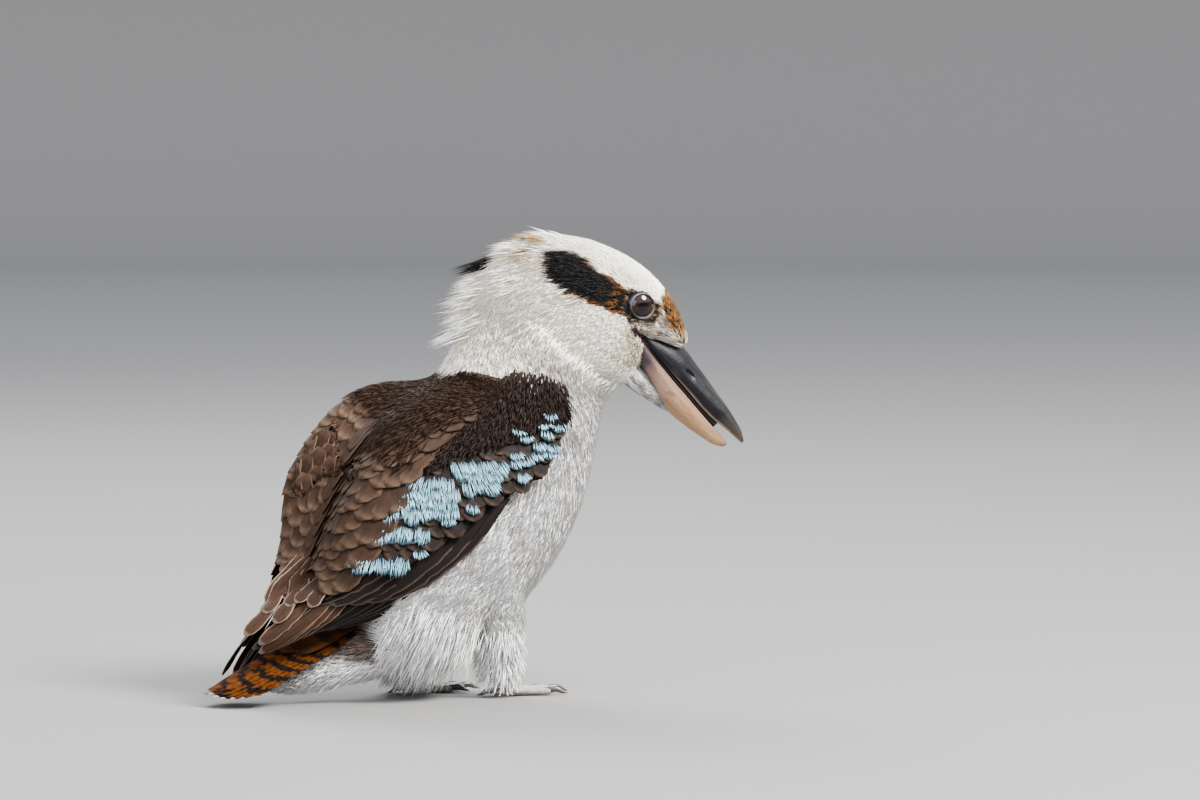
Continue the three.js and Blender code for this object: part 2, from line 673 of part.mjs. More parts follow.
// The wedge of the body that a shoulder's feathers fill, from the middle of each section out to a lift, over a
// number of steps along the back. One that makes room for it is a gap larger all round.
function shoulderWedge(side, sign, lift, steps, room = 0) {
  const chart = backChart(side);
  const fan = 4;
  const rings = [];
  for (let i = 0; i <= steps; i++) {
    const t = SHOULDER.from + i * SHOULDER.step;
    const row = rowAt(CLOAK, t);
    const middle = new THREE.Vector3((row[0] + row[2]) / 2, 0, (row[1] + row[3]) / 2);
    const ring = [middle];
    for (let j = 0; j <= fan; j++) {
      const angle = (j / fan) * (shoulderLow(t) + room / 30);
      const point = chart.at(t, angle * sign);
      const out = point.clone().sub(middle).setLength(lift);
      ring.push(point.add(out));
    }
    rings.push(ring);
  }
  if (room > 0) {
    rings.unshift(pushedOut(rings[0], rings[1], room));
    rings.push(pushedOut(rings.at(-1), rings.at(-2), room));
  }
  return loft(rings);
}

function makeScapulars(side, sign, body) {
  const cover = shoulderWedge(side, sign, SHOULDER.cover, SHOULDER.steps, 3 * GAP);
  const base = cover.intersect(shoulderWedge(side, sign, SHOULDER.room, SHOULDER.steps));
  const chart = backChart(side);
  const feathers = [];
  SCAPULARS.forEach(({ from, to, count, half, lift }, k) => {
    for (let i = 0; i < count; i++) {
      const share = (i + 0.3 + 0.4 * (k % 2)) / count;
      const ends = [from, to].map((t) => 0.1 + share * (shoulderLow(t) - 0.12));
      const root = [from + draw(0.06), ends[0] * sign];
      const tip = [to + draw(0.08) - 0.3 * Math.abs(share - 0.5), ends[1] * sign];
      feathers.push(vane(chart, root, tip, half, lift, { steps: 2, tilt: 1.1 * sign }));
    }
  });
  const limit = shoulderWedge(side, sign, SHOULDER.room, SHOULDER.steps + 2);
  const half = joined([base, joined(feathers).intersect(limit)]).trimByPlane([0, -sign, 0], GAP / 2);
  return largest(half.subtract(body));
}

// Tail: twelve feathers in a shallow roof, the middle pair on top.
const TAIL = { root: [-84, 37], tip: [-166, 6.1], spread: 6.4, half: 9, slope: 0.3, drop: 1.05 };

function tailFeather(pair, side) {
  const [rx, rz] = TAIL.root;
  const long = Math.hypot(TAIL.tip[0] - rx, TAIL.tip[1] - rz);
  const away = new THREE.Vector3(TAIL.tip[0] - rx, 0, TAIL.tip[1] - rz).divideScalar(long);
  const up = new THREE.Vector3(-away.z, 0, away.x).negate();
  const fan = THREE.MathUtils.degToRad((TAIL.spread * (pair + 0.35)) / 5);
  const reach = long * (1 - 0.006 * pair * pair);
  const steps = 3;
  const rows = Array.from({ length: steps + 1 }, (_, i) => {
    const q = (i / steps) ** 0.7;
    const r = q * reach;
    const out = 1.4 + pair * 1.2 + r * Math.sin(fan);
    return [-1, 1].map((s) => {
      const y = Math.max(out + s * TAIL.half * bladeOutline(q), GAP / 2 + 0.3 * (s + 1));
      const p = new THREE.Vector3(rx, side * y, rz).addScaledVector(away, r * Math.cos(fan));
      return p.addScaledVector(up, -pair * TAIL.drop - TAIL.slope * y);
    });
  });
  const thick = (q) => (VANE_THICKNESS / 2) * (1 - 0.35 * q ** 3);
  return plate(rows, rows.map((row) => row.map(() => up)), (q) => -thick(q), thick);
}

// The coverts over the tail's root.
function tailStub(grow = 0) {
  const stops = [[-82, 0, 35, 20, 7], [-93, 0, 30.5, 19, 6], [-106 - grow, 0, 25.5, 17, 3.5]];
  return limb(stops.map(([x, y, z, a, b]) => [x, y, z, a + grow, b + grow]), 4, 12);
}

// The white feathers under the tail, a tongue that stays clear of the tail's own feathers.
function makeUndertail(rump) {
  const [rx, rz] = TAIL.root;
  const away = new THREE.Vector3(TAIL.tip[0] - rx, 0, TAIL.tip[1] - rz).normalize();
  const up = new THREE.Vector3(-away.z, 0, away.x).negate();
  const clear = 5 * TAIL.drop + VANE_THICKNESS + GAP;
  const ceilings = [-1, 1].map((side) => {
    const points = [-20, 100].map((r) =>
      [-2, 45].map((y) => {
        const p = new THREE.Vector3(rx, side * y, rz).addScaledVector(away, r);
        return p.addScaledVector(up, -clear - TAIL.slope * y);
      }),
    );
    return plate(points, points.map((row) => row.map(() => up)), () => 0, () => 40);
  });
  const tongue = limb([[-66, 0, 26, 20, 13], [-88, 0, 18, 19, 10], [-112, 0, 9, 15, 7], [-136, 0, 3, 6, 3]], 6, 12);
  return largest(floored(tongue).subtract(joined([rump, ...ceilings])));
}

function makeTail(rump) {
  const feathers = [5, 4, 3, 2, 1, 0].flatMap((pair) => [-1, 1].map((side) => tailFeather(pair, side)));
  return largest(floored(joined([tailStub(), ...feathers])).subtract(rump));
}

function material(color, roughness) {
  return new THREE.MeshStandardMaterial({ color, roughness, metalness: 0 });
}
const WHITE = material(0xe9e4da, 0.9);
const BROWN = material(0x46362c, 0.85);
const RUFOUS = material(0x9a5420, 0.85);
const BLACK_HORN = material(0x23262b, 0.4);
const PALE_HORN = material(0xd2aa86, 0.45);
const EYE_BROWN = material(0x2a1a16, 0.08);
const SCALY_GREY = material(0xa59c8c, 0.7);

const bird = new THREE.Group();
bird.position.y = STANCE / 2;

function add(name, made, finish, at = [0, 0, 0]) {
  const mesh = made.getMesh();
  const geometry = new THREE.BufferGeometry();
  geometry.setAttribute("position", new THREE.BufferAttribute(mesh.vertProperties.slice(), 3));
  geometry.setIndex(new THREE.BufferAttribute(mesh.triVerts.slice(), 1));
  geometry.computeVertexNormals();
  const node = new THREE.Mesh(geometry, finish);
  node.name = name;
  node.position.set(...at);
  bird.add(node);
  return node;
}

const upperBill = mandible(true);
const lowerBill = mandible(false);
const torsoRoom = bodyStretch(0, TORSO_END, TORSO_STEPS, GAP);
const neckRoom = bodyStretch(TORSO_END - 0.05, NECK_END, NECK_STEPS, GAP);
add("torso", bodyStretch(0, TORSO_END, TORSO_STEPS), WHITE);
add("neck", bodyStretch(TORSO_END - 0.05, NECK_END, NECK_STEPS).subtract(torsoRoom), WHITE);
add("head", makeHead(neckRoom), WHITE);
add("bill_upper", upperBill.subtract(nostril(1)).subtract(nostril(-1)), BLACK_HORN);
add("bill_lower", lowerBill, PALE_HORN);
add("eye_right", eyeball(-1), EYE_BROWN);
add("eye_left", eyeball(1), EYE_BROWN);

const body = bodyStretch(0, TORSO_END, TORSO_STEPS, GAP, bodyRings(TORSO_END + 0.5, NECK_END, NECK_STEPS - 1, GAP));
for (const [side, sign] of [["right", 1], ["left", -1]]) {
  const shoulders = shoulderWedge(side, sign, SHOULDER.room, SHOULDER.steps, GAP);
  const overhang = shoulderWedge(side, sign, SHOULDER.room, SHOULDER.steps + 2, GAP);
  const under = shoulderWedge(side, sign, -2.8, SHOULDER.steps + 2, 0.01);
  const asRight = (made) => (sign > 0 ? made : mirrored(made));
  add("wing_" + side, asRight(makeWing(asRight(joined([body, overhang])))), BROWN);
  add("flight_" + side, asRight(makeFlight(asRight(joined([body, shoulders, overhang.subtract(under)])))), BROWN);
  add("scapulars_" + side, makeScapulars(side, sign, body), BROWN);
}
const rump = bodyStretch(0, TORSO_END, TORSO_STEPS, 2 * GAP);
add("tail", makeTail(rump), RUFOUS);
add("undertail", makeUndertail(joined([rump, tailStub(GAP)])), WHITE);

for (const [side, mirror, back] of [["right", 1, 0], ["left", -1, -STRIDE]]) {
  const place = [back, (-STANCE / 2) * mirror, 0];
  const foot = makeFoot(mirror);
  const thigh = makeThigh(mirror > 0 ? 1 : 1.45, mirror > 0 ? 0.1 : -0.1).subtract(body.translate(place.map((v) => -v)));
  add("thigh_" + side, largest(thigh.subtract(foot)), WHITE, place);
  add("foot_" + side, foot, SCALY_GREY, place);
}

export default bird;
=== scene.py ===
"""Laughing kookaburra, life size, standing on a plain grey floor. Lengths are in millimetres until a mesh is
made, in the bird's own frame: x along the breast, y to its left, z up, with its midplane at y 0."""

import math

import bpy
import numpy as np
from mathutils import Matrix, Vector
from mathutils.bvhtree import BVHTree
from mathutils.kdtree import KDTree


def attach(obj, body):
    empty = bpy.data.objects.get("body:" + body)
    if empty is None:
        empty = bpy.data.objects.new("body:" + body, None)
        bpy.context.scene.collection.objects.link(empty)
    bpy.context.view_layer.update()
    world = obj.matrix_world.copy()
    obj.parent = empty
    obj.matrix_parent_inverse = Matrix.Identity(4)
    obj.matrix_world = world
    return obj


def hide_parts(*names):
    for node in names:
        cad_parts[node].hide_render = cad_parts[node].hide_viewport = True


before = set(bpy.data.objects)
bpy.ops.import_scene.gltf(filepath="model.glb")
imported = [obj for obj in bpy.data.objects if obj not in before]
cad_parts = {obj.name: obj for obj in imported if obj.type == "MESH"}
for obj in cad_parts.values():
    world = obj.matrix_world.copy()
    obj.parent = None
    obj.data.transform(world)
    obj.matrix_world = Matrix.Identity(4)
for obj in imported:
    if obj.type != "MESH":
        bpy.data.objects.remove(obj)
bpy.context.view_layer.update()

SHIFT_Y = 17.0  # the bird's midplane in the shared frame
NECK_X = 16.5
HEAD_TURN = math.radians(25)
FULLNESS = 2.25
BILL_PITCH = math.radians(47.5)
GAPE = (73.0, 189.0)
EYE_ALONG, EYE_UP, EYE_OUT, EYE_RADIUS = 72.3, 202.7, 15.3, 9.5
EYE_TURN = math.radians(20)

# Sections from rump to forehead: top along and up, bottom along and up, half width, share of the head's turn
BODY = np.array([
    [-93, 56, -83, 42, 14, 0], [-97, 68, -76, 32, 26, 0], [-94, 85, -62, 23, 35, 0],
    [-87, 102, -42, 18, 41, 0], [-77, 118, -18, 25, 44, 0], [-65, 132.5, 4, 45, 45, 0],
    [-54, 144, 24, 67, 44, 0], [-44.5, 153, 38, 91, 41.5, 0], [-37, 160.5, 46, 114, 38, 0.02],
    [-32, 168.5, 51, 135, 34.5, 0.1], [-26, 177, 54, 147, 32, 0.25], [-21, 187, 57, 154, 30.5, 0.5],
    [-17, 199, 59.5, 157.5, 30, 0.75], [-11, 211, 62, 159, 29.5, 0.92], [-3, 222.5, 65.5, 160, 29, 1],
    [8, 232, 69, 161.5, 28.5, 1], [24, 237, 72, 164.5, 28, 1], [42, 236.5, 74.5, 170, 27, 1],
    [60, 231, 77, 176, 25, 1], [76, 221, 81, 181, 22.5, 1], [88, 208, 86, 181, 18.5, 1],
    [95, 195, 91, 179, 14.5, 1], [98.5, 184, 95.5, 177.5, 10.5, 1],
], float)
# The same for the cloak of wings and mantle. The last number is how far a shoulder's feathers rise over it.
CLOAK = np.array([
    [-25, 170.5, 60, 144, 41, 0], [-34.5, 163.5, 48, 116, 46, 1], [-51, 155.5, 32, 80, 49.5, 12.5],
    [-70, 143, 8, 48, 51, 18], [-85, 124, -24, 33, 50.5, 20], [-95, 105, -52, 29, 47.5, 22],
    [-103, 87, -78, 27, 42.5, 22], [-111, 70, -100, 26, 36, 14], [-124, 61, -118, 24, 28.5, 3],
    [-143, 53, -136, 20, 21, 0], [-159, 43, -153, 15, 15.5, 0],
], float)
BULGE = {"right": 0.5, "left": 1.22}  # how much of that rise each shoulder has
BULGE_ANGLE, BULGE_WIDTH = 0.68, 0.42

rng = np.random.default_rng(20731)


# Camera and light
VIEW_AZIMUTH, VIEW_ELEVATION = math.radians(-25), math.radians(4)
VIEW_BACK = np.array([
    math.sin(VIEW_AZIMUTH) * math.cos(VIEW_ELEVATION),
    -math.cos(VIEW_AZIMUTH) * math.cos(VIEW_ELEVATION),
    math.sin(VIEW_ELEVATION),
])
VIEW_RIGHT = np.array([math.cos(VIEW_AZIMUTH), math.sin(VIEW_AZIMUTH), 0.0])
VIEW_UP = np.cross(VIEW_BACK, VIEW_RIGHT)
PICTURE_WIDTH, PICTURE_HEIGHT = 1200, 800
MM_PER_PIXEL = 0.52
ORIGIN_PIXEL = (515, 695)
CAMERA_DISTANCE = 4000.0
SENSOR = 36.0


def make_camera():
    data = bpy.data.cameras.new("camera")
    data.sensor_width = SENSOR
    data.lens = SENSOR * CAMERA_DISTANCE / (PICTURE_WIDTH * MM_PER_PIXEL)
    data.clip_end = 100
    camera = bpy.data.objects.new("camera", data)
    bpy.context.scene.collection.objects.link(camera)
    right = (PICTURE_WIDTH / 2 - ORIGIN_PIXEL[0]) * MM_PER_PIXEL
    up = (ORIGIN_PIXEL[1] - PICTURE_HEIGHT / 2) * MM_PER_PIXEL
    place = VIEW_RIGHT * right + VIEW_UP * up + VIEW_BACK * CAMERA_DISTANCE
    camera.location = Vector(place / 1000)
    camera.rotation_mode = "QUATERNION"
    camera.rotation_quaternion = Vector(-VIEW_BACK).to_track_quat("-Z", "Y")
    bpy.context.scene.camera = camera


def make_light(name, place, aim, size, power, colour):
    data = bpy.data.lights.new(name, "AREA")
    data.shape = "DISK"
    data.size = size
    data.energy = power
    data.color = colour
    light = bpy.data.objects.new(name, data)
    light.location = place
    light.rotation_euler = (Vector(aim) - Vector(place)).to_track_quat("-Z", "Y").to_euler()
    bpy.context.scene.collection.objects.link(light)


# The stage and its lights, in metres
STAGE_REACH, STAGE_BEND, STAGE_TOP = 4.3, 0.6, 1.6
STAGE_RINGS = [0.02, 1.0, 2.5]
STAGE_SPOKES = 96
FLOOR_BELOW = 0.0004
FLOOR_COLOUR = (0.125, 0.121, 0.116)
SKY_COLOUR, SKY_STRENGTH = (0.85, 0.9, 1.0, 1), 2.9
WARM, COOL = (1.0, 0.98, 0.95), (0.9, 0.95, 1.0)
# Each light's name, place, aim, size, power and colour
LIGHTS = [
    ("key", (0.9, -1.3, 1.7), (0, 0, 0.12), 0.9, 340, WARM),
    ("fill", (-1.6, -1.1, 0.8), (0, 0, 0.1), 1.6, 46, COOL),
    ("rim", (0.2, 1.5, 1.5), (0, 0, 0.15), 1.0, 78, WARM),
]


def make_stage():
    """A round floor that bends up into a low wall, so that every side view has it behind the bird."""
    bend = np.linspace(0, math.pi / 2, 12)
    reach = np.concatenate([STAGE_RINGS, STAGE_REACH + STAGE_BEND * np.sin(bend), [STAGE_REACH + STAGE_BEND]])
    height = np.concatenate([0 * np.array(STAGE_RINGS), STAGE_BEND * (1 - np.cos(bend)), [STAGE_TOP]])
    height = height - FLOOR_BELOW
    spoke = np.arange(STAGE_SPOKES) / STAGE_SPOKES * 2 * math.pi
    x, y = reach[:, None] * np.cos(spoke), reach[:, None] * np.sin(spoke)
    rings = np.stack([x, y, height[:, None] + 0 * spoke], -1)
    faces = [tuple(range(STAGE_SPOKES))] + tube_faces(len(reach), STAGE_SPOKES)[:, ::-1].tolist()
    mesh = bpy.data.meshes.new("floor")
    mesh.from_pydata(rings.reshape(-1, 3).tolist(), [], faces)
    mesh.polygons.foreach_set("use_smooth", [True] * len(faces))
    mesh.materials.append(plain_material("studio_floor", FLOOR_COLOUR, 0.85))
    floor = bpy.data.objects.new("floor", mesh)
    bpy.context.scene.collection.objects.link(floor)
    world = bpy.data.worlds.new("studio")
    world.use_nodes = True
    sky = world.node_tree.nodes["Background"]
    sky.inputs[0].default_value = SKY_COLOUR
    sky.inputs[1].default_value = SKY_STRENGTH
    bpy.context.scene.world = world
    for light in LIGHTS:
        make_light(*light)


# Materials
def plain_material(name, colour, roughness, specular=0.3):
    material = bpy.data.materials.new(name)
    material.use_nodes = True
    shader = material.node_tree.nodes["Principled BSDF"]
    shader.inputs["Base Color"].default_value = (*colour, 1)
    shader.inputs["Roughness"].default_value = roughness
    shader.inputs["Specular IOR Level"].default_value = specular
    return material


def add_node(tree, kind, inputs):
    """A new node, with each of its inputs set to a number or linked to another node's output."""
    node = tree.nodes.new(kind)
    for key, value in inputs.items():
        if isinstance(value, bpy.types.NodeSocket):
            tree.links.new(value, node.inputs[key])
        else:
            node.inputs[key].default_value = value
    return node


def math_node(tree, operation, *values):
    node = add_node(tree, "ShaderNodeMath", dict(enumerate(values)))
    node.operation = operation
    return node.outputs[0]


BARB_SLANT, BARB_BEND, BARBS_PER_MM = -1.3, 3.2, 6.6


def barbs(tree, strength):
    """A factor that darkens and lightens a feather in fine slanting lines, from its own map."""
    places = tree.nodes.new("ShaderNodeUVMap")
    places.uv_map = "Vane"
    apart = add_node(tree, "ShaderNodeSeparateXYZ", {0: places.outputs["UV"]})
    uneven = add_node(tree, "ShaderNodeTexNoise", {
        "Scale": 0.45, "Detail": 2, "Vector": places.outputs["UV"],
    })
    out = math_node(tree, "ABSOLUTE", apart.outputs["X"])
    slanted = math_node(tree, "MULTIPLY_ADD", out, BARB_SLANT, apart.outputs["Y"])
    bent = math_node(tree, "MULTIPLY_ADD", uneven.outputs["Fac"], BARB_BEND, slanted)
    line = math_node(tree, "SINE", math_node(tree, "MULTIPLY", bent, BARBS_PER_MM))
    return math_node(tree, "MULTIPLY_ADD", line, strength, 1.0)


def painted_material(name, roughness, specular, mottle, scale, bump=0.0, coat=0.0, sheen=0.0, barbed=0.0):
    """Takes its colour from the mesh's own colours, with a fine mottle."""
    material = plain_material(name, (0.5, 0.5, 0.5), roughness, specular)
    tree = material.node_tree
    shader = tree.nodes["Principled BSDF"]
    shader.inputs["Coat Weight"].default_value = coat
    shader.inputs["Coat Roughness"].default_value = 0.08
    shader.inputs["Sheen Weight"].default_value = sheen
    shader.inputs["Sheen Roughness"].default_value = 0.4
    colours = tree.nodes.new("ShaderNodeAttribute")
    colours.attribute_name = "Paint"
    places = tree.nodes.new("ShaderNodeTexCoord")
    noise = add_node(tree, "ShaderNodeTexNoise", {
        "Scale": scale, "Detail": 3, "Vector": places.outputs["Object"],
    })
    spread = add_node(tree, "ShaderNodeMapRange", {
        "From Min": 0.25, "From Max": 0.75, "To Min": 1 - mottle, "To Max": 1 + mottle,
        "Value": noise.outputs["Fac"],
    })
    scaled = add_node(tree, "ShaderNodeVectorMath", {0: colours.outputs["Color"]})
    scaled.operation = "SCALE"
    factor = spread.outputs["Result"]
    if barbed:
        factor = math_node(tree, "MULTIPLY", factor, barbs(tree, barbed))
    tree.links.new(factor, scaled.inputs["Scale"])
    tree.links.new(scaled.outputs["Vector"], shader.inputs["Base Color"])
    if bump:
        relief = add_node(tree, "ShaderNodeBump", {
            "Strength": bump, "Distance": 0.0004, "Height": noise.outputs["Fac"],
        })
        tree.links.new(relief.outputs["Normal"], shader.inputs["Normal"])
    return material


# Meshes
def make_object(name, points, faces, material, colours, uv=None, replaced=(), vane=None):
    """points in the bird's frame, faces as one array of triangles or quads, and colours and maps by point."""
    mesh = bpy.data.meshes.new(name)
    points = np.asarray(points, np.float32)
    placed = (points + np.array([0, SHIFT_Y, 0], np.float32)) / 1000
    faces = np.asarray(faces, np.int32)
    count, corners = faces.shape
    mesh.vertices.add(len(points))
    mesh.vertices.foreach_set("co", placed.astype(np.float32).ravel())
    mesh.loops.add(count * corners)
    mesh.loops.foreach_set("vertex_index", faces.ravel())
    mesh.polygons.add(count)
    mesh.polygons.foreach_set("loop_start", np.arange(count, dtype=np.int32) * corners)
    mesh.polygons.foreach_set("loop_total", np.full(count, corners, np.int32))
    mesh.polygons.foreach_set("use_smooth", np.ones(count, bool))
    mesh.update(calc_edges=True)
    rgba = np.ones((len(points), 4), np.float32)
    rgba[:, :3] = np.clip(colours, 0, 1)
    mesh.color_attributes.new("Paint", "FLOAT_COLOR", "POINT").data.foreach_set("color", rgba.ravel())
    for layer_name, places in (("OFBake", uv), ("Vane", vane)):
        if places is not None:
            layer = mesh.uv_layers.new(name=layer_name)
            layer.data.foreach_set("uv", np.asarray(places, np.float32)[faces.ravel()].ravel())
    mesh.validate()
    mesh.materials.append(material)
    made = bpy.data.objects.new(name, mesh)
    bpy.context.scene.collection.objects.link(made)
    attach(made, "root")
    if replaced:
        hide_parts(*replaced)


# Curves and sections
def row_at(rows, t):
    """Values of a Catmull-Rom curve through rows of numbers, t counted in rows."""
    rows = np.asarray(rows, float)
    t = np.asarray(t, float)
    last = len(rows) - 1
    i = np.clip(np.floor(t).astype(int), 0, last - 1)
    f = (t - i)[..., None]
    a, b, c, d = (rows[np.clip(i + k, 0, last)] for k in (-1, 0, 1, 2))
    return b + 0.5 * f * (c - a + f * (2 * a - 5 * b + 4 * c - d + f * (3 * (b - c) + d - a)))


def turn_about_neck(points, share):
    angle = -HEAD_TURN * np.asarray(share, float)
    along = points[..., 0] - NECK_X
    across = points[..., 1]
    c, s = np.cos(angle), np.sin(angle)
    return np.stack([NECK_X + along * c - across * s, along * s + across * c, points[..., 2]], -1)


def on_section(row, angle):
    """Places on a section of the body at an angle from its top, towards the right side."""
    angle = np.asarray(angle, float)
    top_x, top_z, low_x, low_z, half, turn = np.moveaxis(row, -1, 0)
    up, side = (np.sign(v) * np.abs(v) ** (2 / FULLNESS) for v in (np.cos(angle), np.sin(angle)))
    x = (top_x + low_x) / 2 + up * (top_x - low_x) / 2
    z = (top_z + low_z) / 2 + up * (top_z - low_z) / 2
    return turn_about_neck(np.stack([x, -side * half, z], -1), turn)


def back_at(t, angle, side):
    """Places on the cloak, raised where a shoulder's feathers stand up."""
    row = row_at(CLOAK, t)
    up = np.stack([row[..., 0] - row[..., 2], np.zeros_like(row[..., 0]), row[..., 1] - row[..., 3]], -1)
    up /= np.linalg.norm(up, axis=-1, keepdims=True)
    bump = np.exp(-(((np.abs(angle) - BULGE_ANGLE) / BULGE_WIDTH) ** 2)) * row[..., 5] * BULGE[side]
    return on_section(np.concatenate([row[..., :5], 0 * row[..., :1]], -1), angle) + up * bump[..., None]


SIDE_STOPS, SIDE_HALVINGS, SIDE_RIM = 97, 14, 0.97


def ahead_of(rows, x, z):
    """Above zero where a place x, z lies ahead of a section of the cloak."""
    rise, run = rows[..., 1] - rows[..., 3], rows[..., 0] - rows[..., 2]
    return run * (z - rows[..., 3]) - rise * (x - rows[..., 2])


def side_at(x, z):
    """The right side of the cloak over places x, z."""
    x, z = np.asarray(x, float), np.asarray(z, float)
    shape = x.shape
    x, z = x.ravel(), z.ravel()
    stops = np.linspace(0, len(CLOAK) - 1, SIDE_STOPS)
    below = ahead_of(row_at(CLOAK, stops)[None], x[:, None], z[:, None]) <= 0
    below[:, 0] = False
    first = np.where(below.any(1), below.argmax(1), len(stops) - 1)
    low, high = stops[first - 1], stops[first]
    for _ in range(SIDE_HALVINGS):
        middle = (low + high) / 2
        positive = ahead_of(row_at(CLOAK, middle), x, z) > 0
        low, high = np.where(positive, middle, low), np.where(positive, high, middle)
    row = row_at(CLOAK, (low + high) / 2)
    reach = np.hypot(row[:, 0] - row[:, 2], row[:, 1] - row[:, 3]) / 2
    off = np.hypot(x - (row[:, 0] + row[:, 2]) / 2, z - (row[:, 1] + row[:, 3]) / 2) / reach
    y = row[:, 4] * (1 - np.minimum(off, SIDE_RIM) ** FULLNESS) ** (1 / FULLNESS)
    return np.stack([x, -y, z], -1).reshape(*shape, 3)


FIRST_GUESS_Y, VIEW_STEPS = -35.0, 8


def from_view(px, py):
    """Places x, z on the right wing's surface that the camera sees at a pixel of the picture."""
    u = (np.asarray(px, float) - ORIGIN_PIXEL[0]) * MM_PER_PIXEL
    v = (ORIGIN_PIXEL[1] - np.asarray(py, float)) * MM_PER_PIXEL
    y = np.full(u.shape, FIRST_GUESS_Y)
    for _ in range(VIEW_STEPS):
        across = y + SHIFT_Y
        x = (u - VIEW_RIGHT[1] * across) / VIEW_RIGHT[0]
        z = (v - VIEW_UP[0] * x - VIEW_UP[1] * across) / VIEW_UP[2]
        y = side_at(x, z)[..., 1]
    return np.stack([x, z], -1)


def unit(v):
    return v / np.maximum(np.linalg.norm(v, axis=-1, keepdims=True), 1e-9)


def tube_faces(rings, around):
    """Quads of a tube of rings, each of the same number of points."""
    i = np.arange(rings - 1)[:, None] * around
    j = np.arange(around)[None]
    after = (j + 1) % around
    return np.stack([i + j, i + after, i + around + after, i + around + j], -1).reshape(-1, 4)


def loft(rings):
    """Points and triangles of a closed solid through rings of points."""
    rings = np.asarray(rings, float)
    count, around = rings.shape[:2]
    quads = tube_faces(count, around)
    faces = np.concatenate([quads[:, [0, 1, 2]], quads[:, [0, 2, 3]]])
    points = np.concatenate([rings.reshape(-1, 3), rings[:1].mean(1), rings[-1:].mean(1)])
    j = np.arange(around)
    after = (j + 1) % around
    first, last = np.full((2, around), [[len(points) - 2], [len(points) - 1]])
    end = (count - 1) * around
    caps = [np.stack([after, j, first], -1), np.stack([end + j, end + after, last], -1)]
    return points, np.concatenate([faces, *caps])


def limb_rings(stops, steps, around):
    """Rings along a limb through stops, each a place x, y, z with its half width and half height."""
    stops = np.asarray(stops, float)
    t = np.linspace(0, len(stops) - 1, steps + 1)
    rows = row_at(stops, t)
    middles = rows[:, :3]
    along = unit(np.gradient(middles, axis=0))
    side = np.cross([0, 0, 1.0], along)
    flat = np.linalg.norm(side, axis=1) < 0.2
    side[flat] = [0, 1, 0]
    side = unit(side)
    up = unit(np.cross(along, side))
    a = np.arange(around) / around * 2 * math.pi
    across = side[:, None] * (rows[:, 3, None] * np.cos(a))[..., None]
    return middles[:, None] + across + up[:, None] * (rows[:, 4, None] * np.sin(a))[..., None]


# Colours, as the light they send back
CREAM = np.array([0.90, 0.85, 0.73])
STRAW = np.array([0.80, 0.70, 0.48])
WHITE = np.array([0.84, 0.82, 0.80])
GREYISH = np.array([0.45, 0.43, 0.42])
BUFF = np.array([0.50, 0.31, 0.13])
STAIN = np.array([0.55, 0.40, 0.24])
CROWN_HAIR = np.array([0.30, 0.19, 0.10])
GOLD = np.array([0.19, 0.078, 0.015])
BRISTLE = np.array([0.56, 0.48, 0.38])
CHEEK = np.array([0.52, 0.42, 0.26])
MOUTH_CORNER = np.array([0.035, 0.022, 0.026])
BLACK = np.array([0.0028, 0.0021, 0.0019])
RUFOUS = np.array([0.15, 0.055, 0.011])
VENT_RUFOUS = np.array([0.11, 0.036, 0.006])
CHOCOLATE = np.array([0.0200, 0.0096, 0.0053])
DARK_WING = np.array([0.0062, 0.0040, 0.0034])
PALE_EDGE = np.array([0.095, 0.058, 0.036])
AZURE = np.array([0.27, 0.51, 0.62])


def mix(a, b, share):
    share = np.asarray(share, float)[..., None]
    return a * (1 - share) + b * share


def smooth_step(low, high, v):
    s = np.clip((v - low) / (high - low), 0, 1)
    return s * s * (3 - 2 * s)


def wave(points, scale, phase=0.0):
    """A smooth, patchy number from -1 to 1."""
    x, y, z = np.moveaxis(points / scale, -1, 0)
    first = np.sin(x * 1.7 + 2.3 * np.sin(y * 1.1 + phase) + phase)
    second = np.sin(y * 1.9 + 1.7 * np.sin(z * 1.3 + phase))
    third = np.sin(z * 2.1 + 1.9 * np.sin(x * 0.9 - phase))
    return (first + second + third) / 3


def patches(flat, low, high, scale, phase):
    """Patches of 1 in 0 with soft edges. scale is one number or one for each direction."""
    return smooth_step(low, high, wave(flat / np.asarray(scale, float), 1.0, phase))


def near_line(px, py, line):
    """Distance from an open line, and the share of the way along it."""
    best = np.full(np.shape(px), np.inf)
    where = np.zeros(np.shape(px))
    line = np.asarray(line, float)
    lengths = np.linalg.norm(np.diff(line, axis=0), axis=1)
    total = lengths.sum()
    start = 0.0
    for a, b, length in zip(line[:-1], line[1:], lengths):
        d = (b - a) / length
        s = np.clip((px - a[0]) * d[0] + (py - a[1]) * d[1], 0, length)
        gap = np.hypot(px - a[0] - s * d[0], py - a[1] - s * d[1])
        closer = gap < best
        best = np.where(closer, gap, best)
        where = np.where(closer, (start + s) / total, where)
        start += length
    return best, where


# How the unturned head's side lies on the picture
HEAD_PIXEL_X, HEAD_UPRIGHT, HEAD_RAISED = 530, 0.9976, 1.56


def head_pixels(x, z):
    """Where a place on the unturned head's side shows in the picture."""
    up = z * HEAD_UPRIGHT + HEAD_RAISED
    return HEAD_PIXEL_X + (x - NECK_X) / MM_PER_PIXEL, ORIGIN_PIXEL[1] - up / MM_PER_PIXEL


def head_places(px, py):
    """The place x, z that shows at a pixel, the other way round."""
    up = (ORIGIN_PIXEL[1] - py) * MM_PER_PIXEL
    return NECK_X + (px - HEAD_PIXEL_X) * MM_PER_PIXEL, (up - HEAD_RAISED) / HEAD_UPRIGHT


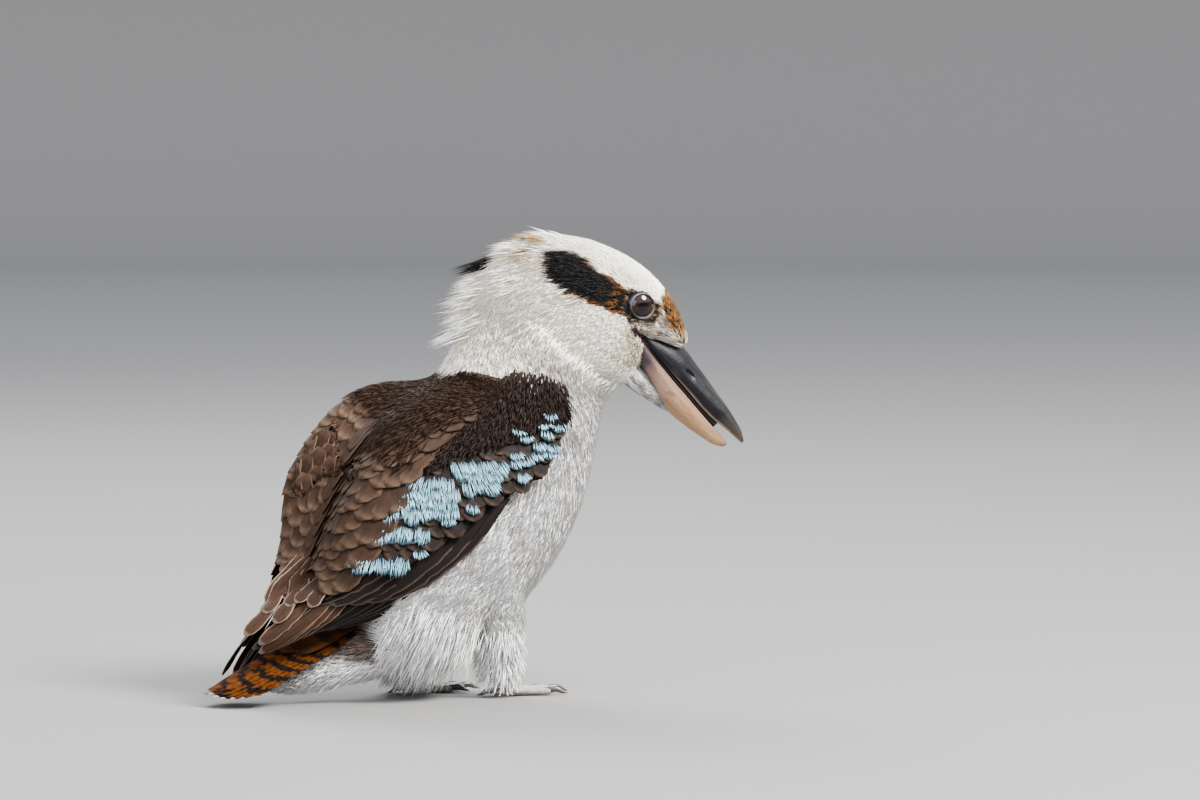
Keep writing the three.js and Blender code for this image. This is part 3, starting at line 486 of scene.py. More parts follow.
# Lines of the face, in the picture's pixels. STRIPE runs from nape to eye, and STRIPE_HALF is half its width
# at shares of the way.
STRIPE = [(547, 260), (564, 267), (585, 279), (604, 289.5), (618, 298), (632, 304)]
STRIPE_HALF = [(0, 9), (0.12, 16), (0.35, 18), (0.6, 16), (0.8, 14), (1, 13)]
STRIPE_START = (541, 551)
EYE_PIXEL = (642, 305)
LORES_LINE = [(668, 299), (670, 308), (675, 320), (682, 332)]
BY_EYE_LINE = [(657, 310), (664, 322)]
BRISTLE_LINE = [(640, 331), (660, 337), (676, 345), (688, 352)]
CHEEK_LINE = [(630, 331), (634, 345), (634, 358)]
MOUTH_CORNER_LINE = [(634, 327), (642, 338)]
# the next line is where the painted shade of a fold behind the mouth lies
FOLD_SHADE_LINE = [(579, 330), (596, 342), (613, 352), (629, 360)]
HEAD_START = 13.6  # where the head begins, in sections of the body


def head_colour(flat, t):
    """Colour of the coat on head, neck and breast. flat holds places on the bird with its head not turned."""
    x, _, z = np.moveaxis(flat, -1, 0)
    px, py = head_pixels(x, z)
    ragged = wave(flat, 3.2) * 2.2 + wave(flat, 1.3, 2.0) * 1.5
    head = smooth_step(HEAD_START, HEAD_START + 1, t)

    def close_to(line, far, near, uneven=0.0):
        return smooth_step(far, near, near_line(px, py, line)[0] + uneven * ragged) * head

    # cream head with buff patches and a buff nape, and a whiter breast with faint streaks
    colour = mix(CREAM, STRAW, 0.5 * patches(flat, 0.2, 1, 14, 1.0) * smooth_step(30, 60, x))
    colour = mix(colour, BUFF, 0.34 * patches(flat, 0.3, 0.9, (12, 6, 6), 4.0))
    nape = smooth_step(560, 520, px) * smooth_step(275, 245, py)
    colour = mix(colour, BUFF * 0.7, 0.75 * nape * patches(flat, -0.2, 0.5, 4, 1.2))
    breast = smooth_step(178, 140, z)
    colour = mix(colour, WHITE * 0.93, breast)
    streaks = smooth_step(0.25, 0.8, wave(flat * [1, 1, 0.35], 2.6, 0.7))
    colour = mix(colour, GREYISH, 0.38 * breast * streaks)
    colour = mix(colour, STAIN, 0.30 * breast * patches(flat, 0.4, 0.9, 7, 2.2))
    # the dark stripe behind the eye, rusty along its edges and at its front
    gap, along = near_line(px, py, STRIPE)
    half = np.interp(along, *zip(*STRIPE_HALF))
    stripe = smooth_step(1.8, -1.8, gap - half + ragged) * smooth_step(*STRIPE_START, px + ragged)
    rust = smooth_step(-0.1, 0.5, wave(flat * [1, 1, 2], 2.1, 3.0))
    rusty_front = 0.9 * smooth_step(0.55, 0.95, along) * rust
    rusty_edge = smooth_step(half - 5, half, gap) * (along > 0.35) * 0.6
    dark = mix(BLACK, RUFOUS, np.clip(rusty_front + rusty_edge, 0, 1))
    colour = mix(colour, dark, stripe * head)
    # an olive ring round the eye, below the brow
    from_eye = np.hypot(px - EYE_PIXEL[0], (py - EYE_PIXEL[1]) * 0.92)
    below_brow = smooth_step(-2, 2, py - 288 - 0.6 * (px - 635))
    olive = mix(BLACK * 1.5, BUFF * 0.35, patches(flat, 0.1, 0.6, 1.0, 3.0))
    colour = mix(colour, olive, smooth_step(22, 18, from_eye + 0.6 * ragged) * below_brow * head)
    # gold and sooty lores between eye and bill
    gold = mix(GOLD, BLACK * 3, patches(flat, -0.35, 0.3, 0.8, 5.0))
    at_bill = smooth_step(-3, 3, px - 664 - 0.48 * (py - 290)) * smooth_step(296, 308, py)
    gold = mix(gold, BLACK * 3, 0.8 * at_bill)
    colour = mix(colour, gold, close_to(LORES_LINE, 11, 6.5, 0.9))
    sooty = mix(BLACK * 2, BUFF * 0.5, patches(flat, -0.2, 0.4, 0.9, 2.0))
    colour = mix(colour, sooty, 0.85 * close_to(BY_EYE_LINE, 7, 3, 0.5))
    # speckled bristles along the bill and on the cheek behind it
    speck = patches(flat, -0.1, 0.3, 0.55, 1.0)
    colour = mix(colour, mix(BRISTLE, BLACK * 16, 0.75 * speck), 0.9 * close_to(BRISTLE_LINE, 16, 6))
    colour = mix(colour, mix(CHEEK, BLACK * 14, 0.6 * speck), 0.7 * close_to(CHEEK_LINE, 12, 3))
    # the bare corner of the mouth
    colour = mix(colour, MOUTH_CORNER, close_to(MOUTH_CORNER_LINE, 4.2, 2.4, 0.25))
    # a few darker hairs on the crown
    crown = smooth_step(300, 285, py + 0.2 * (px - 600)) * smooth_step(550, 580, px) * (1 - stripe)
    hairs = smooth_step(0.45, 0.85, wave(flat * [0.3, 1, 1], 1.5, 2.0))
    colour = mix(colour, CROWN_HAIR, 0.4 * crown * hairs * head)
    # painted shade: a thin darker line in the fold behind the mouth
    return mix(colour, GREYISH * 0.5, 0.6 * close_to(FOLD_SHADE_LINE, 2.4, 0.4))


# Skin: what lies under the coat, one closed surface
SKIN_DEPTH = 2.2  # on the head
COAT_DEPTH = 4.0  # on the body
STANCE, STRIDE = 34.0, 37.0
# Stops of the legs' trousers, the undertail and the chin: place x, y, z, half width and half height
THIGH = [
    [-24, 0, 60, 18, 21], [-17, 0, 44, 15, 17], [-11, 0, 31, 11, 12.5], [-9, 0, 19, 9, 10.5],
    [-8.5, 0, 9, 7.4, 8.6],
]
UNDERTAIL = [[-66, 0, 28, 20, 15], [-88, 0, 22.5, 18, 13.5], [-112, 0, 14.5, 12, 9.5], [-133, 0, 8.5, 4, 2.8]]
CHIN = [[62, 0, 172, 13, 10], [72, 0, 163.5, 11.5, 6.2], [81, 0, 154.5, 8.5, 2.9], [89, 0, 147, 3.6, 1.3]]
KINDS = {"body": 0, "chin": 1, "thigh": 2, "undertail": 3}


def guide_loft(kind, rings, flow_sign):
    """A closed solid and, at its ring points, the way that its coat lies."""
    rings = np.asarray(rings, float)
    flow = unit(np.gradient(rings, axis=0)) * flow_sign
    points, faces = loft(rings)
    n = rings.shape[0] * rings.shape[1]
    marks = {
        "at": rings.reshape(-1, 3),
        "flow": flow.reshape(-1, 3),
        "kind": np.full(n, KINDS[kind]),
        "t": np.repeat(np.linspace(0, 1, rings.shape[0]), rings.shape[1]),
        "angle": np.tile(np.arange(rings.shape[1]) / rings.shape[1] * 2 * math.pi, rings.shape[0]),
        "share": np.ones(n) if kind == "chin" else np.zeros(n),
    }
    return points, faces, marks


def thigh_rings(side, inset):
    """The trousers of the right leg, side 1, or the left one, side -1."""
    wide, lean = (1, 0.1) if side > 0 else (1.45, -0.1)
    back, across = (0, -STANCE / 2) if side > 0 else (-STRIDE, STANCE / 2)
    stops = [[x + lean * (z - 11) + back, y + across, z, b * (1 if i < 2 else wide) - inset, a - inset]
             for i, (x, y, z, a, b) in enumerate(THIGH)]
    return limb_rings(stops, 24, 28)


def skin_parts():
    """Body, chin, trousers and undertail as closed solids, drawn in by the depth of the coat over them."""
    t = np.linspace(0, len(BODY) - 1, 176)
    angle = np.arange(96) / 96 * 2 * math.pi
    grid_t, grid_a = np.meshgrid(t, angle, indexing="ij")
    depth = COAT_DEPTH + (SKIN_DEPTH - COAT_DEPTH) * smooth_step(9, 15, grid_t)
    row = row_at(BODY, grid_t)
    row[..., 4] -= depth
    ax, az = (row[..., 0] - row[..., 2]) / 2, (row[..., 1] - row[..., 3]) / 2
    shrink = depth / np.hypot(ax, az)
    for a, b in ((0, 2), (1, 3)):
        top, low = row[..., a].copy(), row[..., b].copy()
        middle, reach = (top + low) / 2, (top - low) / 2 * (1 - shrink)
        row[..., a], row[..., b] = middle + reach, middle - reach
    rings = on_section(row, grid_a)
    points, faces, marks = guide_loft("body", rings, -1)
    marks["t"], marks["angle"] = grid_t.ravel(), grid_a.ravel()
    marks["share"] = row[..., 5].ravel()
    chin = limb_rings([[x, y, z, a - 1, b - 1] for x, y, z, a, b in CHIN], 16, 20)
    parts = [(points, faces, marks), guide_loft("chin", turn_about_neck(chin, 1.0), 1)]
    parts += [guide_loft("thigh", thigh_rings(side, 2.0), 1) for side in (1, -1)]
    tongue = limb_rings([[x, y, z, a - 3, b - 2.4] for x, y, z, a, b in UNDERTAIL], 24, 28)
    return parts + [guide_loft("undertail", tongue, 1)]


SKIN_VOXEL, RELAX_SHARE, RELAX_TURNS = 2.0, 0.6, 6


def remeshed(parts):
    """One closed surface round several closed solids."""
    points = np.concatenate([p for p, _, _ in parts])
    counts = np.cumsum([0] + [len(p) for p, _, _ in parts])
    faces = np.concatenate([f + n for (_, f, _), n in zip(parts, counts)])
    mesh = bpy.data.meshes.new("rough")
    mesh.from_pydata((points / 1000).tolist(), [], faces.tolist())
    rough = bpy.data.objects.new("rough", mesh)
    bpy.context.scene.collection.objects.link(rough)
    remesh = rough.modifiers.new("remesh", "REMESH")
    remesh.mode = "VOXEL"
    remesh.voxel_size = SKIN_VOXEL / 1000
    relax = rough.modifiers.new("relax", "SMOOTH")
    relax.factor = RELAX_SHARE
    relax.iterations = RELAX_TURNS
    bpy.context.view_layer.update()
    shape = rough.evaluated_get(bpy.context.evaluated_depsgraph_get()).to_mesh()
    shape.calc_loop_triangles()
    made = np.zeros(len(shape.vertices) * 3)
    shape.vertices.foreach_get("co", made)
    triangles = np.zeros(len(shape.loop_triangles) * 3, np.int32)
    shape.loop_triangles.foreach_get("vertices", triangles)
    rough.to_mesh_clear()
    bpy.data.objects.remove(rough)
    bpy.data.meshes.remove(mesh)
    return made.reshape(-1, 3) * 1000, triangles.reshape(-1, 3)


class Skin:
    """The skin's surface, with the nearest guide point's marks at each vertex."""

    def __init__(self):
        parts = skin_parts()
        self.points, self.faces = remeshed(parts)
        marks = {key: np.concatenate([m[key] for _, _, m in parts]) for key in parts[0][2]}
        guides = marks.pop("at")
        tree = KDTree(len(guides))
        for i, p in enumerate(guides):
            tree.insert(p, i)
        tree.balance()
        nearest = np.array([tree.find(p)[1] for p in self.points])
        self.vertex_marks = {key: value[nearest] for key, value in marks.items()}
        self.points = pinched(self.points, self.vertex_marks)
        self.surface = BVHTree.FromPolygons(self.points.tolist(), self.faces.tolist())
        corners = self.points[self.faces]
        cross = np.cross(corners[:, 1] - corners[:, 0], corners[:, 2] - corners[:, 0])
        self.areas = np.linalg.norm(cross, axis=1) / 2
        self.normals = unit(cross)

    def sample(self, per_mm2):
        """Places on the skin, about that many to a square millimetre where per_mm2 gives a number a face."""
        wanted = self.areas * per_mm2
        counts = np.floor(wanted + rng.random(len(wanted))).astype(int)
        face = np.repeat(np.arange(len(counts)), counts)
        a, b = rng.random((2, len(face)))
        flip = a + b > 1
        a[flip], b[flip] = 1 - a[flip], 1 - b[flip]
        corners = self.points[self.faces[face]]
        first, second = (corners[:, k] - corners[:, 0] for k in (1, 2))
        places = corners[:, 0] + a[:, None] * first + b[:, None] * second
        corner = self.faces[face, 0]
        marks = {key: value[corner] for key, value in self.vertex_marks.items()}
        return places, self.normals[face], marks

    def nearest(self, places):
        """The surface's nearest points and their normals."""
        found = [self.surface.find_nearest(p) for p in places.tolist()]
        return (np.array([f[k] for f in found]) for k in (0, 1))

    def walk(self, places, normals, flow, steps):
        """Follows the flow over the skin from places, by one length a step for each, and gives each line's
        points and normals."""
        points, ups = [places], [normals]
        heading = unit(flow - normals * (flow * normals).sum(1, keepdims=True))
        for length in steps:
            ahead = points[-1] + heading * length[:, None]
            nearest, up = self.nearest(ahead)
            heading = unit(heading - up * (heading * up).sum(1, keepdims=True))
            points.append(nearest)
            ups.append(up)
        return np.stack(points, 1), np.stack(ups, 1)


STRAND_THICK = 0.45  # of its width


def strand_shares(rows):
    """Shares across and along a tuft, for each of its points."""
    return np.array([(j / 2, i / (rows - 1)) for i in range(rows - 1) for j in range(3)] + [(0.5, 1.0)])


def strands(points, ups, widths, lifts):
    """Closed, pointed tufts along lines of points: (count, rows, 3). widths and lifts are (count, rows)."""
    count, rows = points.shape[:2]
    along = unit(np.gradient(points, axis=1))
    side = unit(np.cross(ups, along))
    middle = points + ups * lifts[..., None]
    aside = side * (widths / 2)[..., None]
    ridge = middle + ups * (widths * STRAND_THICK)[..., None]
    made = np.stack([middle - aside, ridge, middle + aside], 2)[:, :-1]
    vertices = np.concatenate([made.reshape(count, -1, 3), middle[:, -1:]], 1)
    tip = 3 * (rows - 1)
    quads = tube_faces(rows - 1, 3)
    faces = [face for a, b, c, d in quads for face in ((a, b, c), (a, c, d))]
    faces += [(tip - 3 + j, tip - 3 + (j + 1) % 3, tip) for j in range(3)]
    faces.append((2, 1, 0))
    faces = np.array(faces)[:, ::-1]
    every = (faces[None] + (np.arange(count) * (tip + 1))[:, None, None]).reshape(-1, 3)
    return vertices.reshape(-1, 3), every


PATCH = 0.003  # how wide a tuft's patch is on the coat's own map


def patch_uv(places_uv, shares):
    """The map of many tufts: each a small patch at its root's place, laid out by its points' shares."""
    return (places_uv[:, None] + (shares[None] - 0.5) * PATCH).reshape(-1, 2)


def strand_piece(name, made, base, uv, material, mirror=False, fade=(0.8, 1.04)):
    """A piece of tufts, from lists of their points, up directions, widths and heights. base is each tuft's
    colour, and fade is what it is multiplied by at root and tip."""
    points, ups, widths, heights = (np.concatenate(rows) for rows in zip(*made))
    vertices, faces = strands(points, ups, widths, heights)
    shares = strand_shares(points.shape[1])
    colours = (base[:, None] * np.interp(shares[:, 1], [0, 1], fade)[None, :, None]).reshape(-1, 3)
    if mirror:
        vertices = vertices * [1, -1, 1]
        faces = faces[:, ::-1]
    make_object(name, vertices, faces, material, colours, patch_uv(uv, shares))


def body_uv(marks):
    """An unwrap of the body: along it and round it, with the other parts in a strip of their own."""
    on_body = 0.03 + 0.8 * marks["t"] / (len(BODY) - 1)
    u = np.where(marks["kind"] == KINDS["body"], on_body, 0.84 + 0.04 * marks["kind"] + 0.03 * marks["t"])
    v = 0.03 + 0.94 * (marks["angle"] / (2 * math.pi))
    return np.stack([u, v], -1)


# The coat of hair-like feathers
COAT_ROWS = 3


def coat_piece(name, keep, per_mm2, length, width, lift, spread):
    """Tufts over the part of the skin that keep picks. length and lift are numbers or functions of places and
    marks."""
    centres = skin.points[skin.faces].mean(1)
    face_marks = {key: value[skin.faces[:, 0]] for key, value in skin.vertex_marks.items()}
    flat_centres = turn_about_neck(centres, -face_marks["share"])
    places, normals, marks = skin.sample(keep(flat_centres, face_marks) * per_mm2)
    flat = turn_about_neck(places, -marks["share"])
    long, high = (v(flat, marks) if callable(v) else v for v in (length, lift))
    count = len(places)
    long = long * rng.uniform(0.75, 1.25, count)
    wide = width * rng.uniform(0.8, 1.2, count)
    high = high * rng.uniform(0.6, 1.4, count)
    swirl = spread * rng.normal(0, 1, count) + 0.25 * wave(places, 22, 1.0)
    flow = unit(marks["flow"])
    aside = unit(np.cross(normals, flow))
    flow = flow * np.cos(swirl)[:, None] + aside * np.sin(swirl)[:, None]
    points, ups = skin.walk(places, normals, flow, [long / (COAT_ROWS - 1)] * (COAT_ROWS - 1))
    q = np.linspace(0, 1, COAT_ROWS)
    widths = wide[:, None] * np.interp(q, [0, 0.35, 1], [0.7, 1, 0.3])
    heights = high[:, None] * (0.1 + 1.1 * q ** 0.8)
    beyond_root = turn_about_neck(points[:, 1], -marks["share"])
    base = coat_colour(beyond_root, marks) * rng.uniform(0.9, 1.08, (count, 1))
    strand_piece(name, [(points, ups, widths, heights)], base, body_uv(marks), plumage,
                 fade=(0.86, 1.04))


def coat_colour(flat, marks):
    """Colour of the coat anywhere, from the markings of each kind of part, with painted shade on the chin and
    under the tail.
    """
    kind = marks["kind"]
    t = np.where(kind == KINDS["body"], marks["t"], np.where(kind == KINDS["chin"], 18.0, 3.0))
    colour = head_colour(flat, t)
    shaded = mix(WHITE * 0.95, GREYISH, 0.3 * patches(flat, 0.2, 0.8, 3.0, 2.0))
    colour = np.where((kind >= KINDS["thigh"])[:, None], shaded, colour)
    # painted shade: the chin under the bill is greyed in patches
    colour = mix(colour, GREYISH * 0.4, 0.9 * patches(flat, -0.8, 0.6, 2.0, 1.0) * (kind == KINDS["chin"]))
    bars = smooth_step(-0.2, 0.3, np.sin(flat[:, 0] * 0.95 + flat[:, 2] * 0.35 + 1.5 * wave(flat, 5, 0.3)))
    barred = mix(VENT_RUFOUS, BLACK * 3, 0.85 * bars)
    # painted shade: the coat is greyed low down under the tail
    shade_under_tail = smooth_step(-88, -104, flat[..., 0]) * smooth_step(24, 16, flat[..., 2])
    return mix(mix(colour, GREYISH * 0.9, 0.35 * shade_under_tail), barred, vent_share(flat))


# Right and up in the picture, near the tail
VENT_RIGHT, VENT_UP = (0.906, -0.423), (0.4226 * 0.0698, 0.906 * 0.0698)


def vent_share(places):
    """How far a place belongs to the barred feathers between wing tips, tail and flank."""
    x, y, z = np.moveaxis(places, -1, 0)
    across = y + SHIFT_Y
    right = VENT_RIGHT[0] * x + VENT_RIGHT[1] * across
    up = z + VENT_UP[0] * x + VENT_UP[1] * across
    px = ORIGIN_PIXEL[0] + right / MM_PER_PIXEL + 5 * wave(places, 5, 1.1)
    py = ORIGIN_PIXEL[1] - up / MM_PER_PIXEL + 4 * wave(places, 4, 2.1)
    return 0.9 * smooth_step(390, 380, px) * smooth_step(664, 654, py) * (x < -55) * (z < 62)


# Vanes: broad feathers on charts
class Chart:
    """A surface over places u, v, with the step that measures its slope, the way out of it, and its map."""

    def __init__(self, at, step, outward, uv):
        self.at, self.step, self.outward, self.uv = at, step, outward, uv

    def frame(self, u, v):
        """Places, the way up from the surface, and how it runs along u and along v."""
        h = self.step
        place = self.at(u, v)
        du = (self.at(u + h, v) - self.at(u - h, v)) / (2 * h)
        dv = (self.at(u, v + h) - self.at(u, v - h)) / (2 * h)
        up = unit(np.cross(du, dv))
        up *= np.sign((up * self.outward(place)).sum(-1, keepdims=True))
        return place, up, du, dv


def pulled(du, dv, move):
    """How far a move in space goes along u and v."""
    a, b, c = (du * du).sum(-1), (du * dv).sum(-1), (dv * dv).sum(-1)
    p, q = (du * move).sum(-1), (dv * move).sum(-1)
    det = np.maximum(a * c - b * b, 1e-9)
    return (p * c - q * b) / det, (q * a - p * b) / det


def outline_of(root, widening, end_start, end_length, power):
    """A feather's half width along its length: wider from its root, and rounded off at its end."""

    def half_width(q):
        end = np.clip(q - end_start, 0, 1) / end_length
        return np.minimum(1, root + widening * q) * np.sqrt(np.clip(1 - end ** power, 0.0006, 1))

    return half_width


blade = outline_of(0.45, 1.8, 0.62, 0.385, 2.2)
long_blade = outline_of(0.35, 1.6, 0.82, 0.185, 2.0)


def vane_faces(rows, columns):
    """Quads of a thin closed plate: a grid of points, the same grid under it, and a rim between them."""
    grid = rows * columns
    a = (np.arange(rows - 1)[:, None] * columns + np.arange(columns - 1)[None]).ravel()
    quads = np.stack([a, a + 1, a + 1 + columns, a + columns], 1)
    rim = list(range(columns)) + [columns * k + columns - 1 for k in range(1, rows)]
    rim += list(range(grid - 2, grid - columns - 1, -1)) + [columns * k for k in range(rows - 2, 0, -1)]
    rim = np.array(rim)
    after = np.roll(rim, -1)
    edge = np.stack([after, rim, rim + grid, after + grid], 1)
    return np.concatenate([quads, quads[:, ::-1] + grid, edge])


def bent_lines(roots, tips, q, out):
    """Lines from roots to tips at shares q, moved aside by out, a share of their length."""
    turn = np.stack([-(tips - roots)[:, 1], (tips - roots)[:, 0]], -1)
    return roots[:, None] + (tips - roots)[:, None] * q[None, :, None] + turn[:, None] * out[..., None]


UNEVEN_EDGE, UNEVEN_LEVEL, UNEVEN_POINT = 0.05, 0.12, 0.08
UNDERSIDE = 0.8  # of the upper side's colour


class Vanes:
    """Collects feathers of one coat piece on a chart."""

    def __init__(self, chart):
        self.chart = chart
        self.layers = []
        self.size = 0

    def feathers(self, roots, tips, half, lift, paint, rows=10, columns=7, outline=blade, tilt=0.0, bow=0.0,
                 camber=0.5, thick=0.25):
        """half is the half width in millimetres, lift is (at the root, at the tip) over the chart, and
        paint(q, c, index) gives colours from the shares along and across each feather."""
        roots, tips = np.atleast_2d(roots).astype(float), np.atleast_2d(tips).astype(float)
        n, grid = len(roots), rows * columns
        half = np.broadcast_to(np.asarray(half, float), (n,))[:, None]
        q = np.linspace(0, 1, rows) ** 0.8
        c = np.linspace(-1, 1, columns)
        line = bent_lines(roots, tips, q, np.broadcast_to(bow * np.sin(np.pi * q), (n, rows)))
        spine, normal, du, dv = self.chart.frame(line[..., 0], line[..., 1])
        side = unit(np.cross(normal, unit(np.gradient(spine, axis=1))))
        reach = half * outline(q)[None]
        rough = 1 + UNEVEN_EDGE * rng.normal(0, 1, (n, rows, 1)) * np.abs(c)[None, None]
        move = side[:, :, None] * (reach[..., None] * c * rough)[..., None]
        su, sv = pulled(du[:, :, None], dv[:, :, None], move)
        p, up, _, _ = self.chart.frame(line[..., 0][..., None] + su, line[..., 1][..., None] + sv)
        low, high = np.broadcast_to(np.asarray(lift, float), (n, 2)).T[..., None, None]
        height = low + (high - low) * q[None, :, None] + tilt * c
        height = height + camber * (1 - c ** 2) * np.minimum(1, 3 * (1 - q))[None, :, None]
        height = height + UNEVEN_LEVEL * rng.normal(0, 1, (n, 1, 1))
        height = height + UNEVEN_POINT * rng.normal(0, 1, (n, rows, columns))
        p = p + up * height[..., None]
        top, bottom = p + up * (thick / 2), p - up * (thick / 2)
        points = np.concatenate([top.reshape(n, grid, 3), bottom.reshape(n, grid, 3)], 1)
        faces = vane_faces(rows, columns)[None] + (np.arange(n) * 2 * grid)[:, None, None]
        facing = (np.cross(top[:, 0, 1] - top[:, 0, 0], top[:, 1, 0] - top[:, 0, 0]) * up[:, 0, 0]).sum(-1)
        faces[facing < 0] = faces[facing < 0][..., ::-1]
        index, qq, cc = np.broadcast_arrays(np.arange(n)[:, None, None], q[None, :, None], c[None, None])
        colour = paint(qq, cc, index).reshape(n, grid, 3)
        shares = np.stack([(cc[0] + 1) / 2, qq[0]], -1).reshape(grid, 2)
        uv = patch_uv(self.chart.uv(line[:, 0]), np.concatenate([shares, shares]))
        long = np.linalg.norm(np.diff(spine, axis=1), axis=-1).sum(1)
        own = np.stack([cc * half[..., None], qq * long[:, None, None]], -1).reshape(n, grid, 2)
        own = own + rng.uniform(0, 60, (n, 1, 2)) * [0, 1]
        self.layers.append((
            points.reshape(-1, 3), faces.reshape(-1, 4) + self.size,
            np.concatenate([colour, colour * UNDERSIDE], 1).reshape(-1, 3), uv,
            np.concatenate([own, own], 1).reshape(-1, 2),
        ))
        self.size += 2 * grid * n

    def make(self, name, material, slot, replaced=(), mirror=False):
        points, faces, colours, uv, vane = (np.concatenate(parts) for parts in zip(*self.layers))
        if mirror:
            points = points * [1, -1, 1]
            faces = faces[:, ::-1]
        make_object(name, points, faces, material, colours, uv, replaced, vane)


def chart_strands(chart, roots, tips, width, lift, bow):
    """Points, up directions, widths and heights of hair-like tufts on a chart."""
    q = np.linspace(0, 1, TUFT_ROWS)
    bend = rng.normal(0, 1, len(roots)) * bow
    line = bent_lines(roots, tips, q, bend[:, None] * q ** 2)
    points, ups, _, _ = chart.frame(line[..., 0], line[..., 1])
    widths = width * rng.uniform(0.8, 1.2, (len(roots), 1)) * np.interp(q, [0, 0.35, 1], [0.7, 1, 0.3])
    heights = lift[0] + (lift[1] - lift[0]) * q + rng.uniform(-0.3, 0.3, (len(roots), 1))
    return points, ups, widths, heights


def away_from_middle(points):
    """Out of the body, for places on the cloak."""
    x, y, z = np.moveaxis(points, -1, 0)
    return points - np.stack([np.clip(x, -90, 20), 0 * y, np.clip(z, 60, 120)], -1)


def sideways(points):
    return np.broadcast_to([0, -1.0, 0], points.shape)


def side_uv(line):
    return np.stack([0.05 + 0.9 * (line[..., 0] + 170) / 230, 0.05 + 0.9 * line[..., 1] / 190], -1)


def back_uv(line):
    return np.stack([0.05 + 0.09 * line[..., 0], 0.5 + 0.3 * line[..., 1]], -1)


def tail_uv(line):
    return np.stack([0.5 + line[..., 0] / 250, 0.5 + line[..., 1] / 60], -1)


def feather_paint(base, edge, edge_width, tip_only=0.0, end=0.1):
    """A brown feather: darker shaft, paler rim, faint barbs. Along the feather the rim starts at the share
    tip_only on its sides, and at the share end across its whole width."""

    def paint(q, c, index):
        tone = 1 + 0.18 * np.sin(index * 12.9898)
        streaks = 1 + 0.11 * np.sin(index * 3.1 + q * 31 + np.abs(c) * 9)
        colour = base * (tone * streaks)[..., None]
        at_rim = np.maximum(np.abs(c) * (q > tip_only), (q - end) / (1 - end))
        rim = smooth_step(1 - edge_width * 1.6, 1 - edge_width * 0.3, at_rim)
        shaft = 1 - 0.25 * np.exp(-((c / 0.14) ** 2))
        return mix(colour, edge, rim * 0.8) * shaft[..., None]

    return paint


# Where the wings and the mantle lie over the skin, in places x, z
WING_EDGE = [
    (15, 159), (18, 144), (13, 130), (3, 114), (-12, 99), (-32, 81.5), (-50, 68), (-66, 60), (-82, 55),
]
MANTLE_FRONT = [(-42, 170.5), (-24, 168.5), (-8, 166), (10, 161)]
CLOAK_EDGE = MANTLE_FRONT + WING_EDGE + [(-110, 48)]
BEHIND_CLOAK = [(-200, 48), (-200, 176)]


def inside(x, z, corners):
    """Which places lie inside an area."""
    corners = np.asarray(corners, float)
    found = np.zeros(np.shape(x), bool)
    for (ax, az), (bx, bz) in zip(corners, np.roll(corners, -1, axis=0)):
        crosses = (az > z) != (bz > z)
        found ^= crosses & (x < (bx - ax) * (z - az) / (bz - az + 1e-12) + ax)
    return found


def behind_mantle(flat):
    """How far a place lies behind the front edge of mantle and wing, in millimetres."""
    x, z = flat[..., 0], flat[..., 2]
    gap, _ = near_line(x, z, CLOAK_EDGE)
    return np.where(inside(x, z, CLOAK_EDGE + BEHIND_CLOAK), gap, -gap)


# Up from the bill's axis, and how far from the gape the feathers reach there
FEATHER_LINE = [
    (-12.5, 11.6), (-8.1, 11.3), (-1.7, 5.9), (0, -0.5), (2.4, 4.3), (3.2, 12.3), (4.8, 19.5), (7.4, 28.6),
    (10.3, 28.6),
]


def bill_frame(flat):
    """Places measured along, across and up from the bill's axis at the gape."""
    c, s = math.cos(BILL_PITCH), math.sin(BILL_PITCH)
    x, z = flat[..., 0] - GAPE[0], flat[..., 2] - GAPE[1]
    return np.stack([x * c - z * s, flat[..., 1], x * s + z * c], -1)


def before_bill(flat):
    """How far a place lies behind the line at which the feathers stop on the bill."""
    along, _, up = np.moveaxis(bill_frame(flat), -1, 0)
    return np.interp(up, *np.transpose(FEATHER_LINE)) - along


FACE_START = (15.5, 17)  # in sections of the body
BILL_BASE_HALF = [(-4, 12.2), (11, 12.0), (26, 9.6)]  # half widths at places along the bill


def pinched(points, marks):
    """The face drawn in to the bill's own width in front of the line where its feathers stop."""
    flat = turn_about_neck(points, -marks["share"])
    along, across, up = np.moveaxis(bill_frame(flat), -1, 0)
    ahead = smooth_step(3.0, -0.5, before_bill(flat)) * smooth_step(*FACE_START, marks["t"])
    ahead = ahead * (marks["kind"] == KINDS["body"])
    limit = np.minimum(np.abs(across), np.interp(along, *zip(*BILL_BASE_HALF)))
    flat[:, 1] = np.sign(across) * (np.abs(across) * (1 - ahead) + limit * ahead)
    return turn_about_neck(flat, marks["share"])


skin = Skin()
plumage = painted_material("plumage", 0.8, 0.1, 0.08, 700.0, sheen=0.03)
dark_plumage = painted_material("dark_plumage", 0.66, 0.07, 0.15, 400.0, barbed=0.24)
tail_plumage = painted_material("tail_plumage", 0.85, 0.03, 0.12, 500.0, barbed=0.12)
dark_hair = painted_material("dark_hair", 0.66, 0.08, 0.12, 500.0)
blue_hair = painted_material("blue_hair", 0.45, 0.3, 0.08, 500.0)

# painted shade: the skin between the tufts takes this share of the coat's colour over it
SKIN_SHADE = 0.88  # of the coat's colour over it


